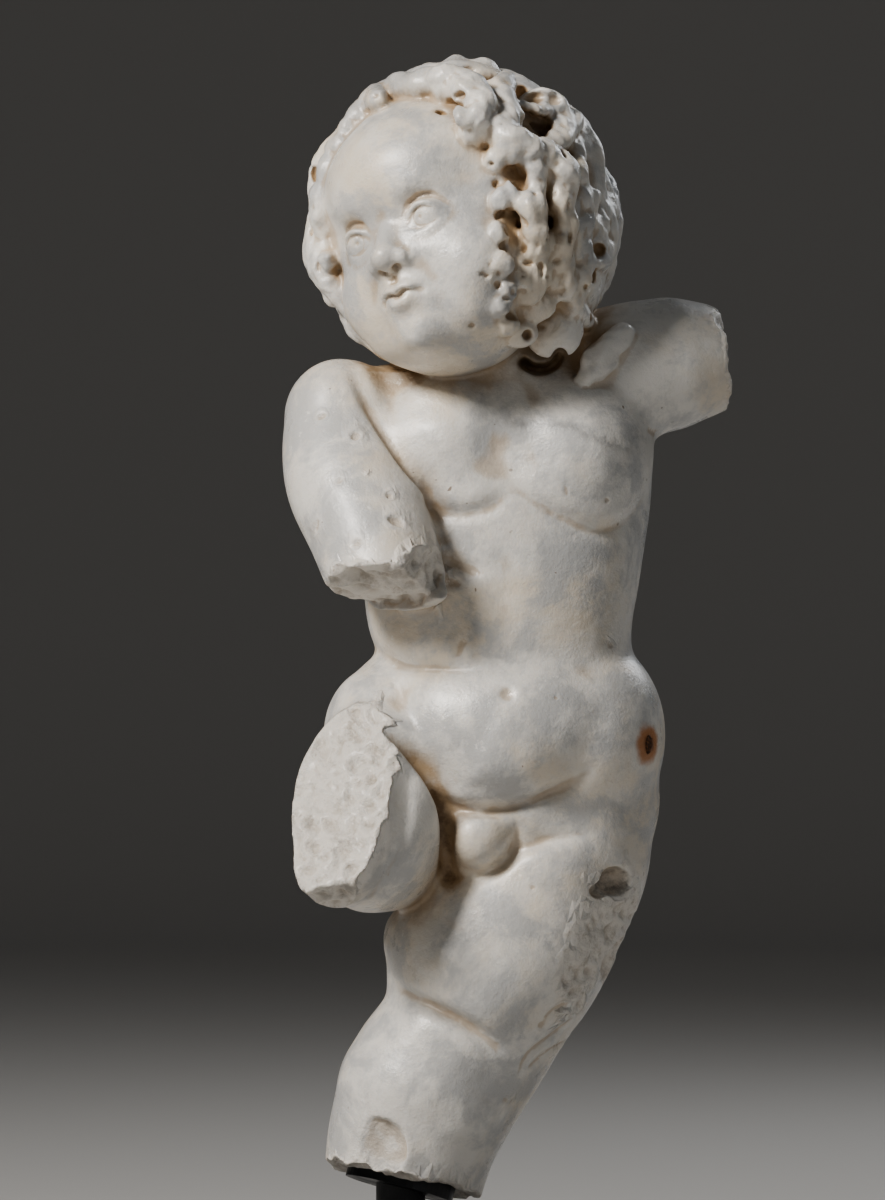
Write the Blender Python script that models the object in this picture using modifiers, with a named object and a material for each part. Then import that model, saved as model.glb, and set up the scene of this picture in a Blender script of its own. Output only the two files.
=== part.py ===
"""Marble putto fragment on a steel display mount.

Three pieces: the carved figure, the steel post with the cradle plate that
meets the figure's broken leg, and the low steel foot that the post stands on.
Metres, +Z up. The figure faces -Y, and its left side is at +X. The origin is
the centre of the foot's underside.

The figure's own forms are shares of its height: their numbers are steps of
one six-hundredth of FIGURE_HEIGHT, so they read as millimetres on the real
figure.
"""

import bpy
import bmesh
from math import cos, pi, radians, sin
from mathutils import Euler, Matrix, Vector

# Driving dimensions, in metres
FIGURE_HEIGHT = 0.600
FOOT_WIDTH = 0.220
FOOT_DEPTH = 0.200
FOOT_THICKNESS = 0.022
FOOT_BEVEL = 0.0015
POST_DIAMETER = 0.026
POST_LENGTH = 0.050
CRADLE_DIAMETER = 0.058
CRADLE_THICKNESS = 0.008
TOUCH_GAP = 0.0003

# How finely the round pieces of the mount are faceted
POST_SIDES = 40
CRADLE_SIDES = 48
BEVEL_STEPS = 3

# The figure's own scale, and how fine its faceted solid is
STEP = FIGURE_HEIGHT / 600
CLAY_CELL = 3.4 * STEP
CLAY_SMOOTHING = 9
CLAY_SHARE_KEPT = 0.098
RING_SIDES = 28

# Colour and roughness of the materials, and how metallic the steel is
MARBLE = ((0.80, 0.78, 0.74), 0.45)
STEEL = ((0.030, 0.032, 0.035), 0.45, 0.6)

# The pose of the head, in degrees, and its centre in the figure's steps
HEAD_TURN = -33
HEAD_NOD = -14
HEAD_LEAN = -22
HEAD_CENTRE = (8, -16, 505)

# The cap that the locks of hair lie on, in the head's own axes
CAP_CENTRE = (0, 6, 8)
CAP_RADII = (71, 81, 76)

# Where the leg is broken off: the lowest surface of the figure
LEG_BREAK_POINT = (-21, -4, 9)
LEG_BREAK_NORMAL = (-0.25, -0.14, -0.96)

# Where the right arm is broken off, across its lower end
ARM_BREAK_POINT = (-30, -74, 315)
ARM_BREAK_NORMAL = (-0.15, -0.30, -0.94)

# The breaks: a point on each, the way it faces, and the width, height and
# depth of what is gone there
BREAKS = [
    ("leg_break", LEG_BREAK_POINT, LEG_BREAK_NORMAL, (160, 160, 60)),
    ("right_arm_break", ARM_BREAK_POINT, ARM_BREAK_NORMAL, (84, 66, 40)),
    ("right_arm_break_inner", (-8, -80, 326), (0.72, -0.45, -0.53), (50, 44, 30)),
    ("right_arm_break_front", (-28, -90, 342), (0.12, -0.96, 0.16), (60, 40, 30)),
    ("left_arm_break", (154, 24, 440), (0.97, -0.16, 0.10), (100, 100, 40)),
    ("thigh_break", (-56, -66, 202), (-0.458, -0.701, 0.546), (112, 130, 90)),
    ("thigh_break_under", (-66, -92, 162), (-0.20, -0.50, -0.84), (60, 60, 30)),
    ("outer_thigh_scar", (94, -22, 135), (0.87, -0.48, -0.10), (40, 78, 30)),
]

# Limbs as rings: x, y, z of the centre, half width, half depth
TORSO = [
    (46, 10, 160, 44, 42),
    (42, 9, 185, 72, 55),
    (35, 6, 222, 80, 58),
    (32, 0, 248, 75, 54),
    (33, -4, 280, 66, 47),
    (31, -3, 312, 72, 49),
    (32, 0, 344, 75, 52),
    (35, 3, 375, 75, 51),
    (35, 6, 400, 72, 46),
    (27, 7, 424, 54, 36),
    (14, 3, 446, 32, 32),
    (8, -4, 470, 30, 30),
]
LEFT_LEG = [
    (74, 8, 208, 40, 48),
    (62, 5, 180, 50, 52),
    (40, 0, 143, 56, 54),
    (23, -4, 107, 54, 51),
    (13, -6, 83, 46, 45),
    (-5, -6, 56, 47, 46),
    (-16, -5, 28, 47, 45),
    (-22, -4, 3, 43, 42),
    (-27, -4, -13, 39, 38),
]
RIGHT_THIGH = [
    (0, 14, 216, 46, 48),
    (-21, -22, 208, 47, 52),
    (-41, -58, 200, 43, 51),
    (-51, -92, 193, 37, 45),
    (-57, -120, 188, 33, 40),
]
RIGHT_ARM = [
    (-56, -2, 414, 24, 26),
    (-54, -10, 401, 30, 30),
    (-48, -28, 375, 34.5, 33),
    (-38, -48, 349, 33.5, 32),
    (-30, -64, 325, 31, 30),
    (-22, -80, 302, 28, 28),
]
LEFT_ARM = [
    (80, 8, 424, 38, 34),
    (104, 12, 435, 35, 34),
    (125, 18, 439, 32, 32),
    (144, 22, 440, 31, 31),
    (170, 28, 441, 29, 29),
]

# Rounded masses of the body: centre, radii, turn in degrees
BODY_MASSES = [
    ((70, -8, 386), (42, 45, 30), (0, -12, 8)),       # left breast
    ((4, -8, 388), (40, 44, 29), (0, 10, -8)),        # right breast
    ((31, -12, 312), (60, 46, 42), (0, 0, 0)),        # upper belly
    ((32, -16, 244), (64, 54, 44), (0, -6, 0)),       # lower belly
    ((68, 4, 240), (44, 50, 54), (0, 8, 0)),          # left flank
    ((-6, 8, 240), (46, 48, 50), (0, -14, 0)),        # right flank
    ((72, 8, 200), (42, 48, 50), (0, 24, 0)),         # left hip
    ((62, 34, 192), (44, 38, 46), (0, 14, 0)),        # left buttock
    ((0, 32, 202), (44, 38, 44), (0, -12, 0)),        # right buttock
    ((-53, -8, 408), (30, 30, 30), (0, 0, 0)),        # right shoulder
    ((-22, 4, 414), (44, 28, 24), (0, -8, 0)),        # right collar
    ((112, 12, 434), (34, 34, 36), (0, 0, 0)),        # left shoulder
    ((74, 8, 424), (50, 32, 34), (0, -20, 0)),        # left collar
    ((70, 34, 390), (34, 22, 40), (0, 10, 0)),        # left shoulder blade
    ((-4, 32, 380), (34, 22, 38), (0, -10, 0)),       # right shoulder blade
    ((20, -4, 113), (53, 51, 33), (0, 26, 0)),        # thigh above the fold
    ((-9, -6, 47), (47, 47, 38), (0, 26, 0)),         # knee below the fold
    ((21, -60, 192), (14, 14, 17), (0, 8, 0)),        # plain worn swelling under the belly
    ((-23, -44, 184), (38, 48, 35), (0, 10, -12)),    # roll under the right thigh
]

# Masses of the head, in the head's own axes
HEAD_MASSES = [
    ((0, 6, 10), (66, 75, 66), (0, 0, 0)),            # skull
    ((0, 17, 10), (74, 74, 75), (0, 0, 0)),           # hair under the locks
    ((0, 34, -30), (50, 44, 34), (0, 0, 0)),          # hair at the nape
    ((0, -30, 18), (53, 43, 44), (0, 0, 0)),          # forehead
    ((0, -22, -26), (50, 50, 46), (0, 0, 0)),         # face
    ((32, -40, -30), (23, 23, 24), (0, 0, 0)),        # left cheek
    ((-32, -40, -30), (23, 23, 24), (0, 0, 0)),       # right cheek
    ((0, -52, -61), (15, 15, 12), (0, 0, 0)),         # chin
    ((0, -21, -58), (40, 33, 20), (0, 0, 0)),         # jaw and double chin
    ((0, -79, -19), (8, 11, 8), (0, 0, 0)),           # tip of the nose
    ((0, -71, -8), (6, 9, 15), (-16, 0, 0)),          # bridge of the nose
    ((0, -67, -41), (12, 9, 6), (0, 0, 0)),           # lips
    ((23, -62, 9), (15, 9, 5), (0, 10, 20)),          # left brow
    ((-23, -62, 9), (15, 9, 5), (0, -10, -20)),       # right brow
]

# Locks of hair on the cap: azimuth and elevation at the root and the tip,
# waves to the side, radius at the middle and how far it stands off the cap.
# Azimuth 0 is the face, and 90 the figure's left ear.
FRONT_LOCKS = [
    (8, 78, 24, 36, 5, 11, 9),
    (30, 74, 52, 30, -6, 12, 10),
    (-2, 74, -8, 47, 4, 8, 2),
    (-20, 72, -34, 40, -4, 8, 1),
    (-40, 66, -56, 26, 5, 8, 0),
    (-60, 50, -72, -2, -4, 8, 0),
    (-76, 20, -72, -44, 6, 9, 2),
]
SIDE_LOCKS = 15
SIDE_FROM, SIDE_TO = 60, 268
SIDE_ROOT = 66
SIDE_SWEEP = 6
SIDE_TIP_FRONT, SIDE_TIP_BACK = -47, -38
SIDE_WAVES = 5
SIDE_RADIUS = 11.5
SIDE_LIFT = 6
BEADS = 13

# How a lock swells from its root, as shares of its radius, and how it waves up and down
LOCK_ROOT, LOCK_SWELL = 0.55, 0.60
LOCK_SWELL_FROM, LOCK_SWELL_LENGTH = 0.05, 0.80
LOCK_RIPPLE = 0.25


def figure_zero():
    """Where the figure's own zero stands, above the foot and the post."""
    return Vector((0, 0, FOOT_THICKNESS + POST_LENGTH + CRADLE_THICKNESS))


def head_axes():
    """The head's turn, nod and lean as one rotation."""
    turn = Matrix.Rotation(radians(HEAD_TURN), 3, "Z")
    nod = Matrix.Rotation(radians(HEAD_NOD), 3, "X")
    lean = Matrix.Rotation(radians(HEAD_LEAN), 3, "Y")
    return lean @ turn @ nod


def placed(centre, axes):
    """A matrix from three column vectors and a centre."""
    matrix = Matrix(axes).transposed().to_4x4()
    matrix.translation = centre
    return matrix


def add_mass(clay, centre, radii, turn=(0, 0, 0), head=False):
    """One rounded mass of the figure, an ellipsoid."""
    axes = Euler([radians(a) for a in turn]).to_matrix()
    middle = Vector(centre)
    if head:
        axes = head_axes() @ axes
        middle = head_axes() @ middle + Vector(HEAD_CENTRE)
    columns = [axes.col[i] * radii[i] * STEP for i in range(3)]
    matrix = placed(middle * STEP, columns)
    bmesh.ops.create_icosphere(clay, subdivisions=3, radius=1, matrix=matrix)


def add_limb(clay, rings, across, break_plane=None):
    """A limb or the trunk: rings square to its line, bridged one to the next."""
    limb = bmesh.new()
    centres = [Vector(ring[:3]) * STEP for ring in rings]
    loops = []
    for i, ring in enumerate(rings):
        before, after = centres[max(i - 1, 0)], centres[min(i + 1, len(rings) - 1)]
        along = (after - before).normalized()
        side = (Vector(across) - along * along.dot(Vector(across))).normalized()
        other = along.cross(side)
        axes = [side * ring[3] * STEP, other * ring[4] * STEP, along]
        made = bmesh.ops.create_circle(
            limb,
            cap_ends=i in (0, len(rings) - 1),
            segments=RING_SIDES,
            radius=1,
            matrix=placed(centres[i], axes),
        )
        corners = set(made["verts"])
        loops.append([e for e in limb.edges if set(e.verts) <= corners])
    for lower, upper in zip(loops, loops[1:]):
        bmesh.ops.bridge_loops(limb, edges=lower + upper)
    if break_plane:
        whole = limb.verts[:] + limb.edges[:] + limb.faces[:]
        point, normal = break_plane
        bmesh.ops.bisect_plane(
            limb, geom=whole, plane_co=Vector(point) * STEP, plane_no=normal, clear_outer=True
        )
        bmesh.ops.holes_fill(limb, edges=[e for e in limb.edges if e.is_boundary])
    mesh = bpy.data.meshes.new("limb")
    limb.to_mesh(mesh)
    limb.free()
    clay.from_mesh(mesh)
    bpy.data.meshes.remove(mesh)


def on_cap(azimuth, elevation, lift):
    """A point on the cap of hair or off it, in the figure's steps."""
    a, e = radians(azimuth), radians(elevation)
    way = Vector((sin(a) * cos(e), -cos(a) * cos(e), sin(e)))
    local = Vector(CAP_CENTRE) + Vector(w * (r + lift) for w, r in zip(way, CAP_RADII))
    return head_axes() @ local + Vector(HEAD_CENTRE)


def add_lock(clay, root, tip, waves, radius, lift):
    """One wavy lock: beads along a line on the cap, thickest past its middle."""
    for i in range(BEADS):
        t = i / (BEADS - 1)
        azimuth = root[0] + (tip[0] - root[0]) * t + waves * sin(3 * pi * t)
        elevation = root[1] + (tip[1] - root[1]) * t
        swell = sin(pi * (LOCK_SWELL_FROM + LOCK_SWELL_LENGTH * t))
        bead = radius * (LOCK_ROOT + LOCK_SWELL * swell)
        stand = lift * t + LOCK_RIPPLE * radius * sin(4 * pi * t)
        centre = on_cap(azimuth, elevation, stand) * STEP
        bmesh.ops.create_icosphere(
            clay, subdivisions=2, radius=bead * STEP, matrix=Matrix.Translation(centre)
        )


def add_hair(clay):
    """The cap, the locks over the brow and the curtain of locks round the back."""
    for az0, el0, az1, el1, waves, radius, lift in FRONT_LOCKS:
        add_lock(clay, (az0, el0), (az1, el1), waves, radius, lift)
    for i in range(SIDE_LOCKS):
        share = i / (SIDE_LOCKS - 1)
        azimuth = SIDE_FROM + (SIDE_TO - SIDE_FROM) * share
        tip = SIDE_TIP_FRONT + (SIDE_TIP_BACK - SIDE_TIP_FRONT) * sin(pi * share)
        waves = SIDE_WAVES if i % 2 else -SIDE_WAVES
        root = (azimuth - SIDE_SWEEP, SIDE_ROOT)
        add_lock(clay, root, (azimuth, tip), waves, SIDE_RADIUS, SIDE_LIFT)


def clay_figure():
    """Every mass of the figure in one mesh, before it becomes one skin."""
    clay = bmesh.new()
    add_limb(clay, TORSO, (1, 0, 0))
    add_limb(clay, LEFT_LEG, (1, 0, 0))
    add_limb(clay, RIGHT_THIGH, (1, 0, 0))
    add_limb(clay, RIGHT_ARM, (1, 0, 0), (ARM_BREAK_POINT, ARM_BREAK_NORMAL))
    add_limb(clay, LEFT_ARM, (0, 0, 1))
    for centre, radii, turn in BODY_MASSES:
        add_mass(clay, centre, radii, turn)
    for centre, radii, turn in HEAD_MASSES:
        add_mass(clay, centre, radii, turn, head=True)
    add_hair(clay)
    bmesh.ops.recalc_face_normals(clay, faces=clay.faces)
    mesh = bpy.data.meshes.new("putto_figure")
    clay.to_mesh(mesh)
    clay.free()
    return mesh


def make_cutter(name, mesh, cutters):
    """A helper solid that a Boolean uses, shown as wire and left out of the part."""
    obj = bpy.data.objects.new(name, mesh)
    obj.hide_render = True
    obj.display_type = "WIRE"
    cutters.objects.link(obj)
    return obj


def break_block(name, point, normal, sizes):
    """A block whose near face lies in a break, so that it takes off what is past it."""
    away = Vector(normal).normalized()
    across = Vector((0, 1, 0)) if abs(away.x) > 0.9 else Vector((1, 0, 0))
    side = (across - away * away.dot(across)).normalized()
    rise = away.cross(side)
    wide, tall, deep = [size * STEP for size in sizes]
    columns = [side * wide, rise * tall, away * deep]
    middle = Vector(point) * STEP + away * deep / 2
    block = bmesh.new()
    bmesh.ops.create_cube(block, size=1, matrix=placed(middle, columns))
    mesh = bpy.data.meshes.new(name)
    block.to_mesh(mesh)
    block.free()
    return mesh


def make_material(name, colour, roughness, metallic=0):
    material = bpy.data.materials.new(name)
    material.use_nodes = True
    shader = material.node_tree.nodes["Principled BSDF"]
    shader.inputs["Base Color"].default_value = (*colour, 1)
    shader.inputs["Roughness"].default_value = roughness
    shader.inputs["Metallic"].default_value = metallic
    return material


def make_figure(parts, cutters):
    """The marble: the masses made one skin, eased, thinned and broken off."""
    figure = bpy.data.objects.new("putto_figure", clay_figure())
    figure.data.materials.append(make_material("marble", *MARBLE))
    figure.location = figure_zero()
    parts.objects.link(figure)
    skin = figure.modifiers.new("one_skin", "REMESH")
    skin.mode = "VOXEL"
    skin.voxel_size = CLAY_CELL
    ease = figure.modifiers.new("ease", "SMOOTH")
    ease.factor = 0.5
    ease.iterations = CLAY_SMOOTHING
    thin = figure.modifiers.new("thin", "DECIMATE")
    thin.ratio = CLAY_SHARE_KEPT
    for name, point, normal, sizes in BREAKS:
        cut = figure.modifiers.new(name, "BOOLEAN")
        cut.operation = "DIFFERENCE"
        cut.solver = "EXACT"
        block = break_block(name, point, normal, sizes)
        cut.object = make_cutter(name, block, cutters)
        cut.object.location = figure_zero()


def add_rod(work, diameter, length, sides, matrix):
    bmesh.ops.create_cone(
        work,
        cap_ends=True,
        segments=sides,
        radius1=diameter / 2,
        radius2=diameter / 2,
        depth=length,
        matrix=matrix,
    )


def make_post(parts, cutters):
    """The upright rod, welded to the cradle plate that lies along the leg's break."""
    contact = Vector(LEG_BREAK_POINT) * STEP + figure_zero()
    down = Vector(LEG_BREAK_NORMAL).normalized()
    centre = contact + down * (TOUCH_GAP + CRADLE_THICKNESS / 2)
    turn = down.to_track_quat("Z", "Y").to_matrix().to_4x4()
    work = bmesh.new()
    plate_place = Matrix.Translation(centre) @ turn
    add_rod(work, CRADLE_DIAMETER, CRADLE_THICKNESS, CRADLE_SIDES, plate_place)
    plate = bpy.data.meshes.new("display_post")
    work.to_mesh(plate)
    work.clear()
    bottom, top = FOOT_THICKNESS + TOUCH_GAP, centre.z
    rod_place = Matrix.Translation((centre.x, centre.y, (top + bottom) / 2))
    add_rod(work, POST_DIAMETER, top - bottom, POST_SIDES, rod_place)
    rod = bpy.data.meshes.new("post_rod")
    work.to_mesh(rod)
    work.free()
    post = bpy.data.objects.new("display_post", plate)
    post.data.materials.append(make_material("post_steel", *STEEL))
    parts.objects.link(post)
    weld = post.modifiers.new("weld", "BOOLEAN")
    weld.operation = "UNION"
    weld.solver = "EXACT"
    weld.object = make_cutter("post_rod", rod, cutters)


def make_foot(parts):
    """The low square foot, with its edges eased."""
    work = bmesh.new()
    size = Matrix.Diagonal((FOOT_WIDTH, FOOT_DEPTH, FOOT_THICKNESS, 1))
    raised = Matrix.Translation((0, 0, FOOT_THICKNESS / 2))
    bmesh.ops.create_cube(work, size=1, matrix=raised @ size)
    mesh = bpy.data.meshes.new("display_foot")
    work.to_mesh(mesh)
    work.free()
    foot = bpy.data.objects.new("display_foot", mesh)
    foot.data.materials.append(make_material("foot_steel", *STEEL))
    parts.objects.link(foot)
    edge = foot.modifiers.new("edge", "BEVEL")
    edge.width = FOOT_BEVEL
    edge.segments = BEVEL_STEPS


def main():
    for obj in list(bpy.data.objects):
        bpy.data.objects.remove(obj)
    parts = bpy.data.collections.new("putto_fragment")
    cutters = bpy.data.collections.new("cutters")
    bpy.context.scene.collection.children.link(parts)
    bpy.context.scene.collection.children.link(cutters)
    make_figure(parts, cutters)
    make_post(parts, cutters)
    make_foot(parts)


main()
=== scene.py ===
import math

import bmesh
import bpy
import numpy as np
from mathutils import Euler, Matrix, Vector, noise
from mathutils.bvhtree import BVHTree


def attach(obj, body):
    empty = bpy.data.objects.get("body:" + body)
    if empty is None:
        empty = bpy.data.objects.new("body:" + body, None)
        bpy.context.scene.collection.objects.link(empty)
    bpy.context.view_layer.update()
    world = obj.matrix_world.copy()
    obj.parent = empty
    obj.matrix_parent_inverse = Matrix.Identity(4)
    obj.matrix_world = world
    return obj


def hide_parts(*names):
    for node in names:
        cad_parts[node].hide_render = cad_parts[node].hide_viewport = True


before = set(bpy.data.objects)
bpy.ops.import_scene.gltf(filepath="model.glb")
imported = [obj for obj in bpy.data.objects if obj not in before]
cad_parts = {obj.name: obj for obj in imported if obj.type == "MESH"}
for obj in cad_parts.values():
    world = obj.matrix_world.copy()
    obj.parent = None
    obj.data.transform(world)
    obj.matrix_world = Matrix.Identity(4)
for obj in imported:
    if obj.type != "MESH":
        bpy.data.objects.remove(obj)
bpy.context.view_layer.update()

# Tables of the figure are in millimetres from its own zero; +x is its left, -y its front
figure = dict(
    metre=0.001,
    zeroHeight=0.080,          # the figure's zero above the foot's underside, in metres
    bodyCell=1.6,              # clay of the trunk and limbs
    headCell=1.1,              # clay of the head
    finalCell=1.15,            # the whole figure as one skin
    settling=(1, 0.4),         # rounds and strength of the last easing
    rayStart=-300,             # in front of everything, where a look along +y starts
    trianglesKept=192000,
)

# Camera

camera = dict(
    distance=4.0,
    sensor=36.0,
    photoHeight=1200,          # pixels
    metrePerPixel=0.5286e-3,   # in the figure's own plane
    zeroRow=1190,              # the pixel row of the figure's zero
)


def makeCamera():
    data = bpy.data.cameras.new("photoCamera")
    data.sensor_fit = "AUTO"
    data.sensor_width = camera["sensor"]
    tall = camera["photoHeight"] * camera["metrePerPixel"]
    data.lens = camera["sensor"] * camera["distance"] / tall
    data.clip_end = 60
    obj = bpy.data.objects.new("photoCamera", data)
    middleRow = camera["photoHeight"] / 2
    height = figure["zeroHeight"] + (camera["zeroRow"] - middleRow) * camera["metrePerPixel"]
    obj.location = (0, -camera["distance"], height)
    obj.rotation_euler = (math.radians(90), 0, 0)
    bpy.context.scene.collection.objects.link(obj)
    bpy.context.scene.camera = obj


makeCamera()
print("camera set")

# Mesh helpers


def meshFrom(work, name):
    mesh = bpy.data.meshes.new(name)
    work.to_mesh(mesh)
    work.free()
    return mesh


def newObject(name, mesh):
    obj = bpy.data.objects.new(name, mesh)
    bpy.context.scene.collection.objects.link(obj)
    return obj


def applied(obj):
    graph = bpy.context.evaluated_depsgraph_get()
    mesh = bpy.data.meshes.new_from_object(obj.evaluated_get(graph))
    bpy.data.objects.remove(obj)
    return mesh


def oneSkin(mesh, cell):
    obj = newObject("clay", mesh)
    remesh = obj.modifiers.new("oneSkin", "REMESH")
    remesh.mode = "VOXEL"
    remesh.voxel_size = cell
    remesh.use_smooth_shade = True
    return applied(obj)


def wholeOf(mesh):
    edges = edgesOf(mesh)          # the largest island of a skin, without the bubbles inside it
    label = np.arange(len(mesh.vertices))
    while True:
        low = np.minimum(label[edges[:, 0]], label[edges[:, 1]])
        lower = label.copy()
        np.minimum.at(lower, edges[:, 0], low)
        np.minimum.at(lower, edges[:, 1], low)
        lower = lower[lower]
        if (lower == label).all():
            break
        label = lower
    keep = label == np.bincount(label).argmax()
    work = bmesh.new()
    work.from_mesh(mesh)
    bmesh.ops.delete(work, geom=[v for v, kept in zip(work.verts, keep) if not kept], context="VERTS")
    return meshFrom(work, mesh.name)


def joined(meshes, name):
    work = bmesh.new()
    for mesh in meshes:
        work.from_mesh(mesh)
    return meshFrom(work, name)


def pointsOf(mesh):
    points = np.empty(len(mesh.vertices) * 3, np.float32)
    mesh.vertices.foreach_get("co", points)
    return points.reshape(-1, 3).astype(np.float64)


def normalsOf(mesh):
    normals = np.empty(len(mesh.vertices) * 3, np.float32)
    mesh.vertex_normals.foreach_get("vector", normals)
    return normals.reshape(-1, 3).astype(np.float64)


def edgesOf(mesh):
    edges = np.empty(len(mesh.edges) * 2, np.int32)
    mesh.edges.foreach_get("vertices", edges)
    return edges.reshape(-1, 2)


def movePoints(mesh, points):
    mesh.vertices.foreach_set("co", points.astype(np.float32).ravel())
    mesh.update()


def eased(values, edges, rounds, strength=0.5):
    values = values.copy()          # each round draws a value towards its neighbours' mean
    first, second = edges.T
    count = len(values)
    ways = np.bincount(first, minlength=count) + np.bincount(second, minlength=count)
    ways = np.maximum(ways, 1)
    columns = values.reshape(count, -1)
    for _ in range(rounds):
        for k in range(columns.shape[1]):
            column = columns[:, k]
            total = np.bincount(first, column[second], count)
            total += np.bincount(second, column[first], count)
            columns[:, k] = column + strength * (total / ways - column)
    return values


def through(points, spacing):
    points = np.array(points, float)          # a smooth line through a few points
    if len(points) == 1:
        return points
    ends = np.vstack([2 * points[0] - points[1], points, 2 * points[-1] - points[-2]])
    line = []
    for a, b, c, d in zip(ends, ends[1:], ends[2:], ends[3:]):
        steps = max(2, round(np.linalg.norm(c[:3] - b[:3]) / spacing))
        for t in np.arange(steps) / steps:
            bend = (2 * a - 5 * b + 4 * c - d) * t * t + (3 * b - a - 3 * c + d) * t ** 3
            line.append((2 * b + (c - a) * t + bend) / 2)
    line.append(points[-1])
    return np.array(line)


# The head's place and its own axes, as the solid has them

head = dict(turn=-33, nod=-14, lean=-22, centre=(8, -16, 505))


def headAxes():
    turn = Matrix.Rotation(math.radians(head["turn"]), 3, "Z")
    nod = Matrix.Rotation(math.radians(head["nod"]), 3, "X")
    lean = Matrix.Rotation(math.radians(head["lean"]), 3, "Y")
    return lean @ turn @ nod


upright = (Matrix.Identity(3), Vector((0, 0, 0)))
inHead = (headAxes(), Vector(head["centre"]))
fromBehind = (Matrix.Rotation(math.pi, 3, "Z"), Vector((0, 0, 0)))


def mass(work, centre, radii, turn=(0, 0, 0), place=upright, fine=4):
    axes = place[0] @ Euler([math.radians(a) for a in turn]).to_matrix()
    matrix = (axes @ Matrix.Diagonal(radii)).to_4x4()
    matrix.translation = place[0] @ Vector(centre) + place[1]
    bmesh.ops.create_icosphere(work, subdivisions=fine, radius=1, matrix=matrix)


def limb(work, rings, across, place=upright, sides=56, spacing=6):
    rings = through(rings, spacing)          # x, y, z, half width, half depth
    across = Vector(across)
    loops = []
    for i, ring in enumerate(rings):
        before, after = rings[max(i - 1, 0)], rings[min(i + 1, len(rings) - 1)]
        along = Vector((after - before)[:3]).normalized()
        side = (across - along * along.dot(across)).normalized()
        axes = Matrix((side * ring[3], along.cross(side) * ring[4], along)).transposed()
        matrix = (place[0] @ axes).to_4x4()
        matrix.translation = place[0] @ Vector(ring[:3]) + place[1]
        made = bmesh.ops.create_circle(
            work, cap_ends=i in (0, len(rings) - 1), segments=sides, radius=1, matrix=matrix
        )
        corners = set(made["verts"])
        edges = {e for v in corners for e in v.link_edges if set(e.verts) <= corners}
        loops.append(list(edges))
    for lower, upper in zip(loops, loops[1:]):
        bmesh.ops.bridge_loops(work, edges=lower + upper)


# Sculpting: lines and spots pressed into a skin, or raised from it


def onSkin(tree, places, view):
    axes, centre = view
    ahead = axes @ Vector((0, 1, 0))
    spots = []
    for x, z in places:
        start = centre + axes @ Vector((x, figure["rayStart"], z))
        hit = tree.ray_cast(start, ahead)[0]
        spots.append(hit or tree.find_nearest(start + ahead * 240)[0])
    return np.array(spots)


fold = dict(
    reach=3.2, swellReach=4.5, lipAt=2, lipWidth=0.7, taper=0.3, leastShare=0.01, fade=0.8, softening=14,
)


def press(points, normals, spots, line):
    width, lip = line["width"], line.get("lip", 0)
    left, right, reach = line.get("swell", (0, 0, 1))          # skin raised on either side of the line's way
    wide = max(fold["reach"] * width, fold["swellReach"] * reach if left or right else 0)
    low, high = spots.min(0) - wide, spots.max(0) + wide
    near = np.flatnonzero(((points > low) & (points < high)).all(1))
    gap = np.full(len(near), np.inf)
    nearest = np.zeros(len(near), int)
    for i, spot in enumerate(spots):
        distance = np.linalg.norm(points[near] - spot, axis=1)
        closer = distance < gap
        gap[closer] = distance[closer]
        nearest[closer] = i
    share = (nearest + 0.5) / len(spots)
    rim = np.exp(-((gap / width - fold["lipAt"]) / fold["lipWidth"]) ** 2)
    groove = line["depth"] * (np.exp(-(gap / width) ** 2) - lip * rim)
    fromEnd = np.minimum(share, 1 - share) if len(spots) > 2 else np.ones(len(near))
    groove *= np.clip(fromEnd / fold["taper"], fold["leastShare"], 1) ** fold["fade"]
    rise = np.zeros(len(near))
    if left or right:
        along = np.gradient(spots, axis=0)[nearest]
        side = np.cross(normals[near], along)
        side /= np.linalg.norm(side, axis=1)[:, None] + 1e-9
        across = ((points[near] - spots[nearest]) * side).sum(1) / (gap + 1e-9)
        rise = np.where(across > 0, left, right) * np.abs(across)
        rise *= gap / reach * np.exp(1 - gap / reach) * np.clip(fromEnd / fold["taper"], 0, 1)
    return near, groove, rise


def pressAll(mesh, lines, view):
    tree = treeOf(mesh)
    points, normals = pointsOf(mesh), normalsOf(mesh)
    grooves, rises = np.zeros(len(points)), np.zeros(len(points))
    for line in lines.values():
        spots = onSkin(tree, through(line["path"], line["width"] / 2), view)
        near, groove, rise = press(points, normals, spots, line)
        grooves[near] += groove
        rises[near] += rise
    if rises.any():
        rises = eased(rises, edgesOf(mesh), fold["softening"])
    movePoints(mesh, points + normals * (rises - grooves)[:, None])


def treeOf(mesh):
    work = bmesh.new()
    work.from_mesh(mesh)
    tree = BVHTree.FromBMesh(work)
    work.free()
    return tree


# Trunk and limbs

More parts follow.
